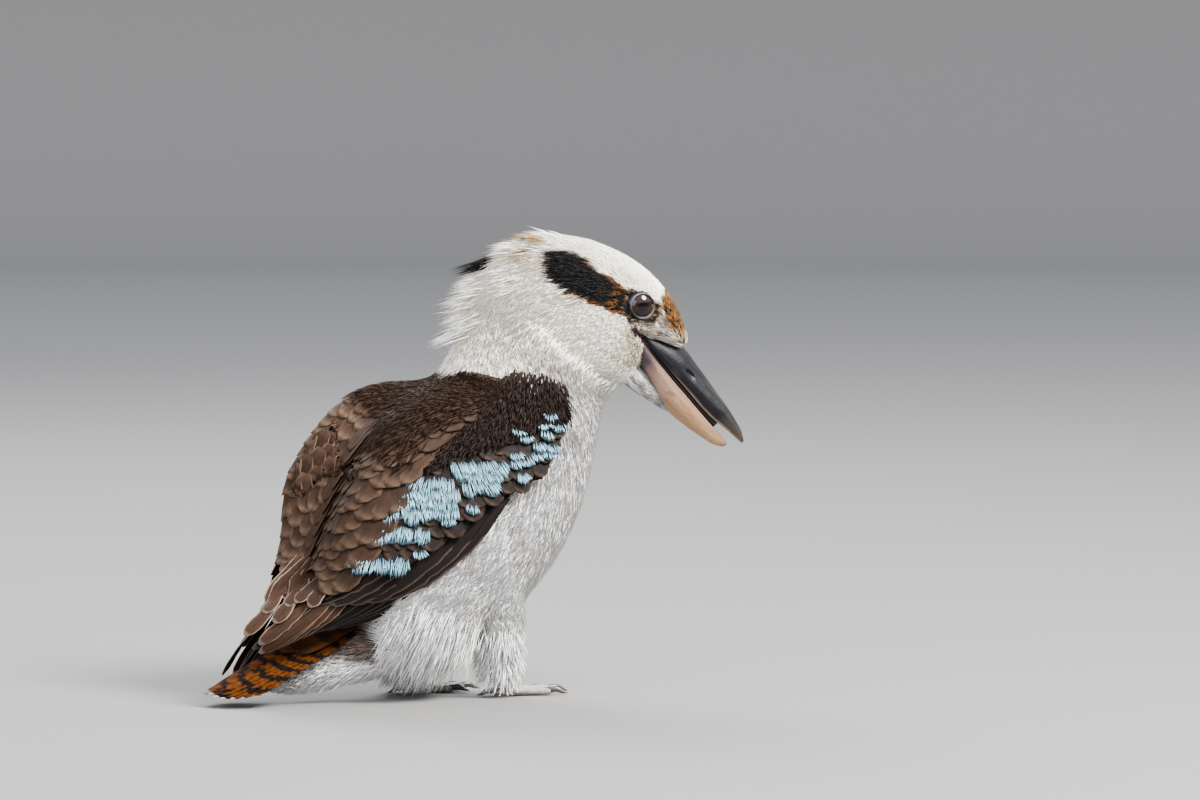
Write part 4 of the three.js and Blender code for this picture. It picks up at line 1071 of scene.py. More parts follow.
def make_skin():
    """The surface under the coat: the coat's colours, darkened a little as painted shade between the tufts,
    and dark under the wings and the mantle.
    """
    marks = skin.vertex_marks
    flat = turn_about_neck(skin.points, -marks["share"])
    under_wing = smooth_step(-1, 3, behind_mantle(flat)) * (marks["kind"] == KINDS["body"])
    colours = mix(coat_colour(flat, marks) * SKIN_SHADE, DARK_WING, under_wing)
    make_object("skin", skin.points, skin.faces, plumage, colours, body_uv(marks),
                replaced=("torso", "neck", "head", "thigh_right", "thigh_left", "undertail"))


make_skin()


CROWN_START = 17.2  # where the crown ends and the forehead begins, in sections
EYE_CLEAR = 6.6


def between(marks, low, high):
    on_body = marks["kind"] == KINDS["body"]
    return on_body * smooth_step(low - 0.4, low, marks["t"]) * smooth_step(high + 0.4, high, marks["t"])


def on_head(marks):
    return between(marks, HEAD_START, len(BODY) - 1)


def on_top(marks):
    return np.cos(marks["angle"]) > 0.15


def off_face(flat):
    """Clear of the bill and of the eye."""
    from_eye = np.hypot(flat[..., 0] - EYE_ALONG, flat[..., 2] - EYE_UP)
    return (before_bill(flat) > 0) * (from_eye > EYE_CLEAR)


def forehead_keep(flat, marks):
    return on_head(marks) * on_top(marks) * (marks["t"] >= CROWN_START) * off_face(flat)


def crown_keep(flat, marks):
    return on_head(marks) * on_top(marks) * (marks["t"] < CROWN_START)


def cheek_keep(flat, marks):
    return on_head(marks) * ~on_top(marks) * off_face(flat) + (marks["kind"] == KINDS["chin"])


def trunk_keep(low, high, far, near):
    """Picks the coat between two sections of the trunk, ahead of the mantle and the wing."""
    return lambda flat, marks: between(marks, low, high) * smooth_step(far, near, behind_mantle(flat))


def leg_keep(flat, marks):
    return (marks["kind"] >= KINDS["thigh"]) * (flat[..., 2] > 3)


def head_length(flat, marks):
    from_eye = np.hypot(flat[..., 0] - EYE_ALONG, flat[..., 2] - EYE_UP)
    back = smooth_step(17.5, 14.5, marks["t"]) * (np.cos(marks["angle"]) > 0.3)
    at_bill = 3.4 + 0.3 * np.maximum(before_bill(flat), 0)
    return np.minimum(np.clip(from_eye * 0.24, 2.0, 8) + 4 * back, at_bill + 40 * (marks["kind"] == 1))


def head_lift(flat, marks):
    back = smooth_step(17.5, 14.5, marks["t"]) * np.clip(np.cos(marks["angle"]), 0, 1)
    at_bill = smooth_step(9, 1, before_bill(flat))
    return 1.3 + 3.6 * back + 0.5 * smooth_step(62, 50, flat[..., 0]) + 1.1 * at_bill


def breast_length(flat, marks):
    return np.interp(marks["t"], [0, 4, 9, 14], [20, 20, 15, 10])


# Each piece of the coat: name, where it grows, tufts to a square millimetre, length, width, lift and spread
COAT = [
    ("coat_forehead", forehead_keep, 3.2, head_length, 0.52, head_lift, 0.2),
    ("coat_crown", crown_keep, 3.0, head_length, 0.55, head_lift, 0.18),
    ("coat_cheeks", cheek_keep, 3.0, head_length, 0.55, 1.3, 0.18),
    ("coat_neck", trunk_keep(9.2, HEAD_START, 9, 5), 1.4, breast_length, 0.8, 3.2, 0.2),
    ("coat_breast", trunk_keep(5.4, 9.2, 7, 4), 1.05, breast_length, 0.85, 3.4, 0.2),
    ("coat_belly", trunk_keep(-1, 5.4, 7, 4), 0.95, breast_length, 0.85, 3.6, 0.24),
    ("coat_legs", leg_keep, 0.9, 10, 0.85, 2.8, 0.26),
]
for piece in COAT:
    coat_piece(*piece)


TUFT_ROWS = 4
CREST_TURN = 0.95  # how much of the head's turn the crest shares


def free_tufts(places, ups, headings, long, width, stand, droop):
    """Points, up directions, widths and heights of tufts that leave the skin at places."""
    q = np.linspace(0, 1, TUFT_ROWS)[None, :, None]
    long = long[:, None, None]
    points = places[:, None] + headings[:, None] * (long * q) + ups[:, None] * (stand * np.sin(q * 1.6))
    points = points + np.array([0, 0, -droop]) * (long * q ** 2)
    points[..., 2] = np.maximum(points[..., 2], 1.0 + 0.6 * rng.random(points.shape[:2]))
    narrowing = np.interp(q[0, :, 0], [0, 0.4, 1], [0.7, 1, 0.25])
    widths = width * rng.uniform(0.8, 1.2, (len(places), 1)) * narrowing
    return points, np.repeat(ups[:, None], TUFT_ROWS, 1), widths, np.zeros(points.shape[:2])


# Roots and tips of the crest's locks, in the picture's pixels, how far to the side, and their colour
CREST = [
    ((566, 242), (528, 236), 4, CREAM), ((556, 245), (518, 240), 9, BUFF * 0.6),
    ((552, 247), (513, 246), 3, BUFF * 0.5), ((548, 251), (511, 253), 8, CREAM),
    ((546, 256), (507, 261), 12, BUFF * 0.6), ((538, 262), (500, 266), 5, CREAM),
    ((552, 239), (518, 237), 5, BLACK * 2), ((514, 267), (462, 279), 3, BLACK),
    ((509, 271), (468, 281), 4, BLACK), ((518, 266), (478, 275), 4, BLACK),
    ((500, 284), (466, 293), 4, CREAM), ((500, 294), (464, 301), 7, CREAM),
    ((498, 308), (463, 318), 4, CREAM), ((496, 322), (461, 334), 7, CREAM),
    ((492, 338), (456, 352), 4, WHITE), ((530, 272), (496, 280), 14, CREAM),
    ((526, 284), (490, 294), 16, CREAM),
]
LOCK_COUNT = 46


def crest_lock(root, tip, away, colour):
    """Tufts of one lock, held tighter where it is black, and their colours."""
    x, z = head_places(*np.transpose([root, tip]).astype(float))
    tight = 0.35 if colour.max() < 0.1 else 1.0
    start = np.array([x[0], away, z[0]]) + rng.normal(0, tight, (LOCK_COUNT, 3)) * [2.2, 2.4, 2.0]
    places, ups = skin.nearest(turn_about_neck(start, CREST_TURN))
    heading = np.array([x[1] - x[0], away * 0.2, z[1] - z[0]])
    heading = heading + rng.normal(0, tight, (LOCK_COUNT, 3)) * [1.6, 1.8, 1.6]
    length = np.linalg.norm(heading, axis=1) * rng.uniform(0.5, 1.12, LOCK_COUNT)
    heading = turn_about_neck(heading + [NECK_X, 0, 0], CREST_TURN) - [NECK_X, 0, 0]
    tufts = free_tufts(places, ups, unit(heading), length, 0.6, 2.2, droop=0.05)
    return tufts, colour * rng.uniform(0.75, 1.15, (LOCK_COUNT, 1))


def make_crest():
    made = [
        crest_lock(root, tip, side * away, colour) for root, tip, away, colour in CREST for side in (-1, 1)
    ]
    locks, tones = zip(*made)
    places = np.concatenate([points[:, 0] for points, *_ in locks])
    uv = np.stack([0.62 + places[:, 0] / 800, 0.5 + places[:, 1] / 200], -1)
    strand_piece("crest", locks, np.concatenate(tones), uv, plumage)


def make_flank_wisps():
    """Long loose feathers of flank and belly that hang over the tail's base and between the legs."""
    centres = skin.points[skin.faces].mean(1)
    kind = skin.vertex_marks["kind"][skin.faces[:, 0]]
    x, _, z = centres.T
    flank = smooth_step(-18, -34, x) * smooth_step(-76, -68, x) * smooth_step(60, 42, z)
    density = 0.5 * (kind == KINDS["body"]) * flank * smooth_step(4, 0, behind_mantle(centres))
    density += 0.35 * (kind == KINDS["undertail"]) * smooth_step(-118, -96, x) * smooth_step(24, 14, z)
    density *= 1 - smooth_step(0.1, 0.5, vent_share(centres))
    density += 0.55 * (kind == KINDS["thigh"]) * smooth_step(6, 12, z) * smooth_step(42, 30, z)
    places, normals, marks = skin.sample(density)
    tongue, trouser = marks["kind"] == KINDS["undertail"], marks["kind"] == KINDS["thigh"]
    rearward = smooth_step(-34, -80, places[:, 0])
    heading = np.stack([-0.62 - 0.1 * rearward, 0.08 * np.sign(places[:, 1]), -0.85 + 0.1 * rearward], -1)
    heading[tongue] = [-1.0, 0.0, -0.12]
    heading[trouser] = normals[trouser] * [0.35, 0.35, 0] + [-0.16, 0, -1.0]
    heading += rng.normal(0, 0.15, heading.shape)
    heading += wave(places, 11.0, 0.4)[:, None] * [0.25, 0.25, 0.15]
    long = rng.uniform(11, 26, len(places)) * (1 - 0.35 * rearward) * (1 - 0.2 * tongue)
    long[trouser] = rng.uniform(7, 13, trouser.sum())
    made = free_tufts(places, normals, unit(heading), long, 0.72, 2.6, droop=0.12)
    tone = WHITE * 1.02 * rng.uniform(0.8, 1.1, (len(places), 1))
    tone = mix(tone, GREYISH, 0.5 * patches(places, 0.2, 0.9, 5, 3.3))
    strand_piece("flank_wisps", [made], tone, body_uv(marks), plumage)


make_crest()
make_flank_wisps()


# Wings: coverts, blue fringes and flight feathers
def wing_heading(places):
    """Which way the coverts point at places x, z."""
    slope = np.radians(np.interp(places[..., 0], [-100, -60, -30, 0, 15], [22, 42, 55, 68, 92]))
    return -np.stack([np.cos(slope), np.sin(slope)], -1)


def scattered(corners, step, squeeze=0.8, jitter=0.12):
    """A loose honeycomb of places within corners."""
    low, high = corners.min(0) - step, corners.max(0) + step
    places = []
    for k, z in enumerate(np.arange(low[1], high[1], step * squeeze)):
        x = np.arange(low[0], high[0], step) + (step / 2) * (k % 2)
        places.append(np.stack([x, np.full(x.shape, z)], -1))
    places = np.concatenate(places)
    places += rng.normal(0, step * jitter, places.shape)
    return places[inside(*places.T, corners)]


def below_shoulder(starts, top):
    return starts[:, 1] < top - 0.35 * np.maximum(-starts[:, 0] - 8, 0)


# Areas of the right wing, as they show in the picture
COVERT_PIXELS = [
    (566, 388), (568, 420), (560, 445), (541, 474), (517, 500), (506, 495), (490, 510), (468, 522),
    (445, 538), (420, 549), (400, 562), (372, 566), (348, 560), (322, 552), (345, 530), (372, 506),
    (395, 486), (410, 466), (431, 440), (453, 412), (480, 392), (514, 372),
]
LESSER_PIXELS = [
    (566, 384), (570, 412), (545, 420), (505, 436), (470, 448), (432, 468), (420, 462), (440, 434),
    (462, 404), (490, 384), (516, 370), (545, 374),
]
# Areas of blue fringes and how many degrees they lean, and single blue spots
BLUE_PATCHES = [
    ([(382, 514), (396, 494), (410, 482), (429, 473), (451, 476), (458, 487), (460, 502), (459, 514),
      (446, 516), (430, 514), (416, 516), (400, 512)], 4),
    ([(452, 464), (464, 460), (486, 458), (496, 457), (507, 463), (502, 476), (494, 486), (484, 488),
      (470, 484), (458, 476)], -16),
    ([(370, 525), (382, 523), (402, 525), (420, 526), (437, 523), (438, 528), (420, 535), (402, 536),
      (386, 536)], 8),
    ([(358, 558), (368, 554), (390, 554), (410, 553), (412, 558), (400, 563), (380, 566), (364, 564)], 12),
]
BLUE_SPOTS = [
    (516, 456), (527, 460), (537, 455), (516, 463), (523, 476), (474, 507), (422, 552), (449, 519),
    (519, 432), (526, 438), (547, 434), (539, 446), (552, 448), (549, 455), (346, 554), (543, 425),
    (558, 426), (550, 416),
]
# Each flight feather's root and tip, the lowest first: the longest, those over them, and the crossed tips
LONG_FLIGHT = [
    ((492, 562), (350, 634)), ((484, 562), (334, 641)), ((470, 560), (322, 638)), ((455, 560), (306, 641)),
    ((440, 560), (292, 646)), ((425, 560), (280, 650)), ((405, 560), (268, 652)), ((390, 560), (260, 650)),
]
BROAD_FLIGHT = [
    ((512, 496), (402, 590)), ((496, 502), (386, 596)), ((478, 508), (368, 598)), ((460, 514), (350, 599)),
    ((442, 520), (332, 599)), ((424, 524), (314, 598)), ((408, 528), (300, 602)),
]
FLIGHT_TIPS = [
    ((364, 578), (296, 641)), ((354, 576), (285, 646)), ((344, 573), (275, 650)), ((333, 569), (266, 652)),
    ((322, 562), (265, 641)), ((304, 554), (250, 631)), ((310, 556), (269, 609)), ((316, 556), (279, 619)),
    ((324, 556), (291, 603)), ((338, 553), (300, 600)), ((352, 553), (314, 604)),
]
FLIGHT_EDGE = np.array([0.15, 0.105, 0.08])
LONG_EDGE = np.array([0.075, 0.068, 0.062])
# For each of the three: half width, lift at root and tip, how much higher each feather lies than the last
# one, columns, tilt, bow and paint
FLIGHT = [
    (LONG_FLIGHT, 4.6, (-9.4, -9.4), 0.5, 9, 0.3, 0.03, feather_paint(DARK_WING, LONG_EDGE, 0.10, end=0.9)),
    (BROAD_FLIGHT, 6.6, (-5.0, -4.2), 0.42, 11, 0.45, 0.04,
     feather_paint(DARK_WING * 0.6, FLIGHT_EDGE * 0.6, 0.09, tip_only=0.3, end=0.9)),
    (FLIGHT_TIPS, 3.9, (-4.6, -4.0), 0.55, 11, 0.2, 0.03,
     feather_paint(CHOCOLATE * 1.15, FLIGHT_EDGE * 1.8, 0.10, end=0.9)),
]
FAR_DROOP, FAR_DROOP_START = 0.0029, -62  # the far wing's end hangs lower, from this place back
SIDE = Chart(side_at, 0.5, sideways, side_uv)


def pixel_area(corners):
    return from_view(*np.array(corners, float).T)


def make_coverts(side, mirror):
    """A closed dark layer, and the greater and median coverts over it."""
    area = pixel_area(COVERT_PIXELS)
    tips = scattered(area, 9)
    roots = tips - wing_heading(tips) * 16
    fits = below_shoulder(roots, 158)
    under = Vanes(SIDE)
    paint = feather_paint(DARK_WING, DARK_WING, 0.16)
    under.feathers(roots[fits], tips[fits], 8, (-5.0, -4.4), paint, rows=5, columns=4, tilt=0.3)
    under.make("wing_under_" + side, dark_plumage, "brown_plumage", mirror=mirror)
    tips = scattered(area, 7.6, 0.85)
    aim = wing_heading(tips)
    far_back = smooth_step(-5, -60, tips[:, 0])
    long = (15 + 5 * far_back) * rng.uniform(0.92, 1.1, len(tips))
    roots = tips - aim * long[:, None]
    fits = below_shoulder(roots, 161)
    coverts = Vanes(SIDE)
    coverts.feathers(roots[fits], tips[fits], 5.4 + 1.6 * far_back[fits], (-3.0, 0.5),
                     feather_paint(DARK_WING * 1.15, PALE_EDGE * 0.42, 0.12, tip_only=0.5), tilt=0.35)
    coverts.make("coverts_" + side, dark_plumage, "brown_plumage", replaced=("wing_" + side,), mirror=mirror)


def make_flight(side, mirror):
    """The flight feathers that show beyond the coverts."""

    def drooped(x, z):
        behind = np.maximum(FAR_DROOP_START - x, 0)
        return side_at(x, z) - (behind ** 2)[..., None] * [0, 0, FAR_DROOP * mirror]

    flight = Vanes(Chart(drooped, 0.5, sideways, side_uv))
    for pairs, half, lift, rise, columns, tilt, bow, paint in FLIGHT:
        roots, tips = (from_view(*np.array(ends, float).T) for ends in zip(*pairs))
        levels = np.array(lift) + rise * np.arange(len(pairs))[:, None]
        flight.feathers(roots, tips, half, levels, paint, 18, columns, long_blade, tilt, bow)
    flight.make("flight_feathers_" + side, dark_plumage, "brown_plumage", ("flight_" + side,), mirror)


def make_lesser_coverts(side, mirror):
    """Small hairy coverts on the shoulder."""
    roots = scattered(pixel_area(LESSER_PIXELS), 1.05, 0.9, 0.4)
    aim = wing_heading(roots)
    aim = unit(aim + rng.normal(0, 0.16, aim.shape))
    tips = roots + aim * rng.uniform(6, 11, (len(roots), 1))
    made = chart_strands(SIDE, roots, tips, 0.85, (0.2, 2.4), bow=0.06)
    tone = mix(DARK_WING * 1.2, CHOCOLATE * 1.1, rng.uniform(0, 1, len(roots)) ** 2)
    strand_piece("lesser_coverts_" + side, [made], tone, side_uv(roots), dark_hair, mirror)


FAN_APART = (10.5, 9.5)  # in pixels
FAN_STRANDS, FAN_ROOT, FAN_TIP = 12, 2.9, 4.1
SPOT_LENGTH = 0.62


def pixel_fans():
    """Where each fan of blue strands starts and ends, in pixels."""
    tops, lean = [], []
    for corners, slant in BLUE_PATCHES:
        low, high = np.min(corners, 0), np.max(corners, 0)
        for k, y in enumerate(np.arange(low[1] - 2, high[1] + 4, FAN_APART[1])):
            for x in np.arange(low[0], high[0], FAN_APART[0]) + (k % 2) * FAN_APART[0] / 2:
                place = np.array([x, y]) + rng.normal(0, 1.0, 2)
                if inside(*place, corners):
                    tops.append(place - [0, 5])
                    lean.append(slant + rng.normal(0, 7))
    for x, y in BLUE_SPOTS:
        tops.append(np.array([x, y - 5.0]))
        lean.append(rng.normal(0, 8))
    tops, lean = np.array(tops), np.radians(np.array(lean))
    long = rng.uniform(15, 20, len(tops))
    long[-len(BLUE_SPOTS):] *= SPOT_LENGTH
    return tops, tops + np.stack([-np.sin(lean), np.cos(lean)], -1) * long[:, None]


def make_blue_fringes(side, mirror):
    """Fans of pale blue strands over dark feathers."""
    a, b = (from_view(*ends.T) for ends in pixel_fans())
    bases = Vanes(SIDE)
    paint = feather_paint(DARK_WING * 0.8, AZURE * 0.25, 0.2)
    bases.feathers(a, b, 3.6, (0.2, 1.2), paint, rows=6, columns=5, tilt=0.1)
    bases.make("blue_bases_" + side, dark_plumage, "brown_plumage", mirror=mirror)
    count = (len(a), FAN_STRANDS)
    fan = np.linspace(-1, 1, FAN_STRANDS)[None] + rng.normal(0, 0.05, count)
    down = unit(b - a)
    across = np.stack([-down[:, 1], down[:, 0]], -1)[:, None] * fan[..., None]
    down = down[:, None]
    root = a[:, None] + across * FAN_ROOT + down * rng.uniform(0.5, 2.5, (*count, 1))
    long = np.linalg.norm(b - a, axis=1)[:, None]
    reach = long * (1.08 - 0.3 * fan ** 2) * rng.uniform(0.75, 1.12, count)
    tip = a[:, None] + across * FAN_TIP + down * reach[..., None]
    root, tip = root.reshape(-1, 2), tip.reshape(-1, 2)
    made = chart_strands(SIDE, root, tip, 0.56, (1.0, 3.2), bow=0.04)
    tone = AZURE * rng.uniform(0.6, 1.25, (len(root), 1))
    tone = tone * (1 + rng.normal(0, 0.12, (len(root), 3)) * [1, 0.4, 0.3])
    # the fade darkens each strand's root, partly the feather's own dark base and partly painted shade under
    # the row above
    strand_piece("blue_fringes_" + side, [made], tone, side_uv(root), blue_hair, mirror,
                 fade=(0.2, 1.45))


for side in ("right", "left"):
    for make in (make_coverts, make_flight, make_lesser_coverts, make_blue_fringes):
        make(side, mirror=side == "left")


# Mantle, back and shoulder feathers
SHOULDER_REACH = [
    (-1, 0.98), (0.7, 0.98), (1.54, 0.88), (2.38, 0.84), (3.22, 0.88), (4.06, 0.98), (4.9, 1.1), (5.74, 1.15),
    (9, 1.15),
]
# What differs between the shoulders: the rearmost row, whether the feathers are broad, how bright they are
# as painted light and shade, lighter on the left and darker on the right, how pale their rims are, and how
# far back the tufts go
SHOULDERS = {"right": (5.7, 1, 0.85, 0.6, 3.4), "left": (6.2, 0, 1.3, 1.0, 2.4)}
CORE_DEPTH, CORE_POINTS = 4.2, 14
MANTLE_TUFTS = 2900


def shoulder_reach(t):
    """How far round from the back's middle the shoulder goes, as an angle."""
    return np.interp(t, *zip(*SHOULDER_REACH))


def make_shoulder_feathers(side, sign, chart):
    rearmost, broad, painted_light, pale, _ = SHOULDERS[side]
    roots, tips, half = [], [], []
    stops = list(np.arange(rearmost, 2.4, -0.40)) + list(np.arange(2.4, 0.0, -0.26))
    for k, t in enumerate(stops):
        fine = smooth_step(2.6, 1.2, t)
        count = int(round(6 - broad + 4 * fine))
        for i in range(count):
            share = (i + 0.25 + 0.5 * (k % 2)) / count
            long = (1.45 + 0.2 * broad - 0.6 * fine) * rng.uniform(0.9, 1.1)
            roots.append((t, (0.02 + share * shoulder_reach(t)) * sign))
            tips.append((t + long, (0.02 + share * shoulder_reach(t + long)) * sign))
            half.append(6.6 + 1.2 * broad - 2.4 * fine)
    roots, tips, half = np.array(roots), np.array(tips), np.array(half)
    feathers = Vanes(chart)
    # painted light and shade: the same brown is made lighter on the left shoulder and darker on the right
    base = CHOCOLATE * painted_light
    rear = roots[:, 0] > 2.0
    for chosen, paleness in ((rear, pale), (~rear, 0.2)):
        paint = feather_paint(base, mix(base, PALE_EDGE, paleness), 0.15)
        feathers.feathers(roots[chosen], tips[chosen], half[chosen], (-3.0, 0.8), paint, rows=11, columns=9,
                          tilt=0.35 * sign)
    if side == "left":
        t = np.arange(5.6, 2.2, -0.34)
        roots = np.stack([t, 0.03 * (-1.0) ** np.arange(len(t))], -1)
        paint = feather_paint(base, base * 1.5, 0.13)
        feathers.feathers(roots, roots + [1.35, 0], 5.4, (-1.6, 1.5), paint, rows=11, columns=9)
    feathers.make("shoulder_feathers_" + side, dark_plumage, "brown_plumage", replaced=("scapulars_" + side,))


def make_shoulder_core(side, sign, chart):
    """A dark core that fills the shoulder under its feathers."""
    rings = []
    for t in np.linspace(0.5, 7.2, 22):
        row = row_at(CLOAK, t)
        middle = np.array([(row[0] + row[2]) / 2, 0, (row[1] + row[3]) / 2])
        outer = chart.at(np.full(CORE_POINTS, t), np.linspace(-0.06, shoulder_reach(t), CORE_POINTS) * sign)
        outer = outer - unit(outer - middle) * CORE_DEPTH
        inner = middle + (outer[[0, -1]] - middle) * 0.4
        ring = np.concatenate([inner[:1], outer, inner[1:]])
        rings.append(ring[::int(sign)])
    points, faces = loft(rings)
    uv = np.stack([0.05 + 0.4 * (points[:, 0] + 120) / 150, 0.5 + 0.004 * points[:, 1]], -1)
    make_object("shoulder_core_" + side, points, faces, dark_hair,
                np.broadcast_to(DARK_WING, points.shape), uv)


def make_mantle_tufts(side, sign, chart):
    """Soft hair-like tufts over the mantle's front."""
    count = MANTLE_TUFTS
    t = 0.1 + SHOULDERS[side][-1] * rng.random(count) ** 1.9
    share = rng.random(count)
    roots = np.stack([t, (0.01 + share * shoulder_reach(t)) * sign], -1)
    tips = roots + np.stack([rng.uniform(0.35, 0.6, count), rng.normal(0, 0.03, count)], -1)
    made = chart_strands(chart, roots, tips, 0.9, (-0.6, 2.2), bow=0.02)
    tone = mix(CHOCOLATE * 0.55, CHOCOLATE * 1.5, rng.random(count) ** 2)
    strand_piece("mantle_tufts_" + side, [made], tone, back_uv(roots), dark_hair)


def make_shoulder(side, sign):
    chart = Chart(lambda t, angle: back_at(t, angle, side), 0.01, away_from_middle, back_uv)
    make_shoulder_feathers(side, sign, chart)
    make_shoulder_core(side, sign, chart)
    make_mantle_tufts(side, sign, chart)


make_shoulder("right", 1)
make_shoulder("left", -1)


# Tail
TAIL_ROOT, TAIL_TIP = np.array([-84, 0, 43.0]), np.array([-166, 0, 7.4])
TAIL_HALF, TAIL_SLOPE, TAIL_DROP, TAIL_SPREAD, TAIL_BOW = 9.6, 0.36, 0.62, 6.0, 2.6
TAIL_RUFOUS, RUMP_RUFOUS = np.array([0.046, 0.0125, 0.0014]), np.array([0.075, 0.024, 0.004])
RUMP_ROWS = [(0.06, 34, 5), (0.0, 26, 6), (-0.06, 20, 6)]  # each row's start, length and number of feathers


def tail_paint(q, c, across, pair):
    """Slanting dark bars that run on from feather to feather. across is how far the tail's midline is."""
    bent = np.sin(q * 11 + across * 0.11) + 0.55 * np.sin(across * 0.42 + q * 26)
    bars = np.sin(q * 54 - across * 0.24 + bent) + 0.25 * np.sin(across * 0.9 + q * 71)
    black = smooth_step(0.1, 0.45, bars) * smooth_step(0.02, 0.1, q)
    rufous = TAIL_RUFOUS * (1 + 0.3 * np.sin(q * 90 + across * 0.8))[..., None]
    white = smooth_step(0.985 - 0.004 * pair, 0.996 - 0.004 * pair, q)
    shaft = 1 - 0.3 * np.exp(-((c / 0.07) ** 2))
    return mix(mix(rufous, BLACK, black), WHITE * 0.5, white) * shaft[..., None]


def make_tail():
    long = np.linalg.norm(TAIL_TIP - TAIL_ROOT)
    away = (TAIL_TIP - TAIL_ROOT) / long
    up = np.array([away[2], 0, -away[0]])

    def at(r, y):
        r, y = np.asarray(r, float), np.asarray(y, float)
        rise = TAIL_BOW * np.sin(np.pi * np.clip(r / long, 0, 1)) - TAIL_SLOPE * np.sqrt(y ** 2 + 4)
        return TAIL_ROOT + r[..., None] * away + y[..., None] * np.array([0, 1, 0]) + rise[..., None] * up

    vanes = Vanes(Chart(at, 0.5, lambda points: np.broadcast_to(up, points.shape), tail_uv))
    for pair in range(5, -1, -1):
        fan = math.radians(TAIL_SPREAD * (pair + 0.35) / 5)
        reach = long * (1 - 0.006 * pair * pair)
        start, opening = 1.4 + pair * 1.2, reach * math.sin(fan)
        for s in (1, -1):

            def paint(q, c, index, s=s, start=start, opening=opening, pair=pair):
                return tail_paint(q, c, start + s * c * TAIL_HALF + opening * q, pair)

            level = 0.6 - pair * TAIL_DROP + (0.25 if s > 0 else 0)
            root, tip = (0.0, s * start), (reach * math.cos(fan), s * (start + opening))
            vanes.feathers([root], [tip], TAIL_HALF - 0.6, (level, level), paint, rows=72, columns=9,
                           outline=long_blade, thick=0.4)
    paint = feather_paint(RUMP_RUFOUS, BLACK * 2, 0.3, tip_only=0.4)
    for k, (start, length, count) in enumerate(RUMP_ROWS):
        y = np.linspace(-1, 1, count) * (9 - k)
        roots = np.stack([start * long + 0 * y, y * 0.8], -1)
        tips = np.stack([start * long + length + 0 * y, y * 1.5], -1)
        vanes.feathers(roots, tips, 5.5, (0.8 + 0.9 * k, 1.6 + 0.7 * k), paint, rows=9, columns=7)
    vanes.make("tail_feathers", tail_plumage, "rufous_plumage", replaced=("tail",))


make_tail()


# Eyes
def head_place(x, y, z):
    return turn_about_neck(np.stack(np.broadcast_arrays(x, y, z), -1).astype(float), 1.0)


def ball(rings, around):
    """Unit sphere about the +x axis: points and triangles."""
    polar = np.linspace(0, math.pi, rings + 1)[1:-1, None]
    a = np.arange(around) / around * 2 * math.pi
    ring = np.stack([np.cos(polar) + 0 * a, np.sin(polar) * np.cos(a), np.sin(polar) * np.sin(a)], -1)
    points, faces = loft(ring)
    points[-2:] = [[1, 0, 0], [-1, 0, 0]]
    return points, faces


EYE_OPENING = 6.1
IRIS = np.array([0.010, 0.0034, 0.0024])
# the second colour of the lids is their painted highlight
LID, LID_HIGHLIGHT = np.array([0.008, 0.007, 0.008]), np.array([0.11, 0.10, 0.115])
LID_AROUND, LID_SECTION = 40, 12  # points round the eye and round the lid's own section


def make_eyeball(side, centre, basis):
    points, faces = ball(40, 48)
    around = np.degrees(np.arccos(np.clip(points[:, 0], -1, 1)))
    spoke = np.arctan2(points[:, 2], points[:, 1])
    iris = IRIS * (1 + 0.25 * np.sin(spoke * 23) * np.sin(around * 0.9))[:, None]
    colours = mix(iris, BLACK * 0.4, smooth_step(19, 16.5, around))
    colours = mix(colours, BLACK * 0.6, smooth_step(38, 42, around))
    name = "eye_" + side
    material = painted_material(name, 0.12, 0.2, 0.04, 400.0, coat=0.2)
    placed = centre + (points * EYE_RADIUS) @ basis
    make_object(name, head_place(*placed.T), faces, material, colours, replaced=(name,))


def make_lids(side, sign, centre, basis):
    """A soft ring with painted highlights: a pale crescent below and in front, and one over the back."""
    t = np.arange(LID_SECTION) / LID_SECTION * 2 * math.pi
    a = np.arange(LID_AROUND)[:, None] / LID_AROUND * 2 * math.pi
    level = math.sqrt(EYE_RADIUS ** 2 - EYE_OPENING ** 2)
    towards_front = -sign * 0.6 * np.cos(a) - 0.8 * np.sin(a)
    low_front, over_back = np.clip(towards_front, 0, 1), np.clip(-towards_front, 0, 1)
    wide = 0.5 + 0.25 * low_front + 0.06 * np.sin(a * 17)
    radial = EYE_OPENING + 0.2 + 0.25 * low_front + wide * np.cos(t)
    out = level + 0.1 + (0.7 + 0.08 * np.sin(a * 13)) * np.sin(t)
    ring = np.stack([out, radial * np.cos(a), radial * np.sin(a)], -1)
    placed = centre + ring.reshape(-1, 3) @ basis
    i, j = np.arange(LID_AROUND)[:, None], np.arange(LID_SECTION)[None]
    ni, nj = (i + 1) % LID_AROUND * LID_SECTION, (j + 1) % LID_SECTION
    i = i * LID_SECTION
    faces = np.stack([i + j, ni + j, ni + nj, i + nj], -1).reshape(-1, 4)
    if sign > 0:
        faces = faces[:, ::-1]
    # painted highlight: pale arcs on the lids below in front and over the back
    pale = np.maximum(low_front ** 3, over_back ** 2) + 0 * t
    material = painted_material("lid_" + side, 0.55, 0.15, 0.25, 1500.0, bump=0.3)
    make_object("lids_" + side, head_place(*placed.T), faces, material,
                mix(LID, LID_HIGHLIGHT, 0.7 * pale.ravel()))


def make_eye(side, sign):
    """sign is -1 for the right eye, whose place across the head is negative."""
    facing = np.array([math.sin(EYE_TURN), sign * math.cos(EYE_TURN), 0])
    basis = np.stack([facing, np.cross([0, 0, 1.0], facing), [0, 0, 1.0]])
    centre = np.array([EYE_ALONG, sign * EYE_OUT, EYE_UP])
    make_eyeball(side, centre, basis)
    make_lids(side, sign, centre, basis)


make_eye("right", -1)
make_eye("left", 1)


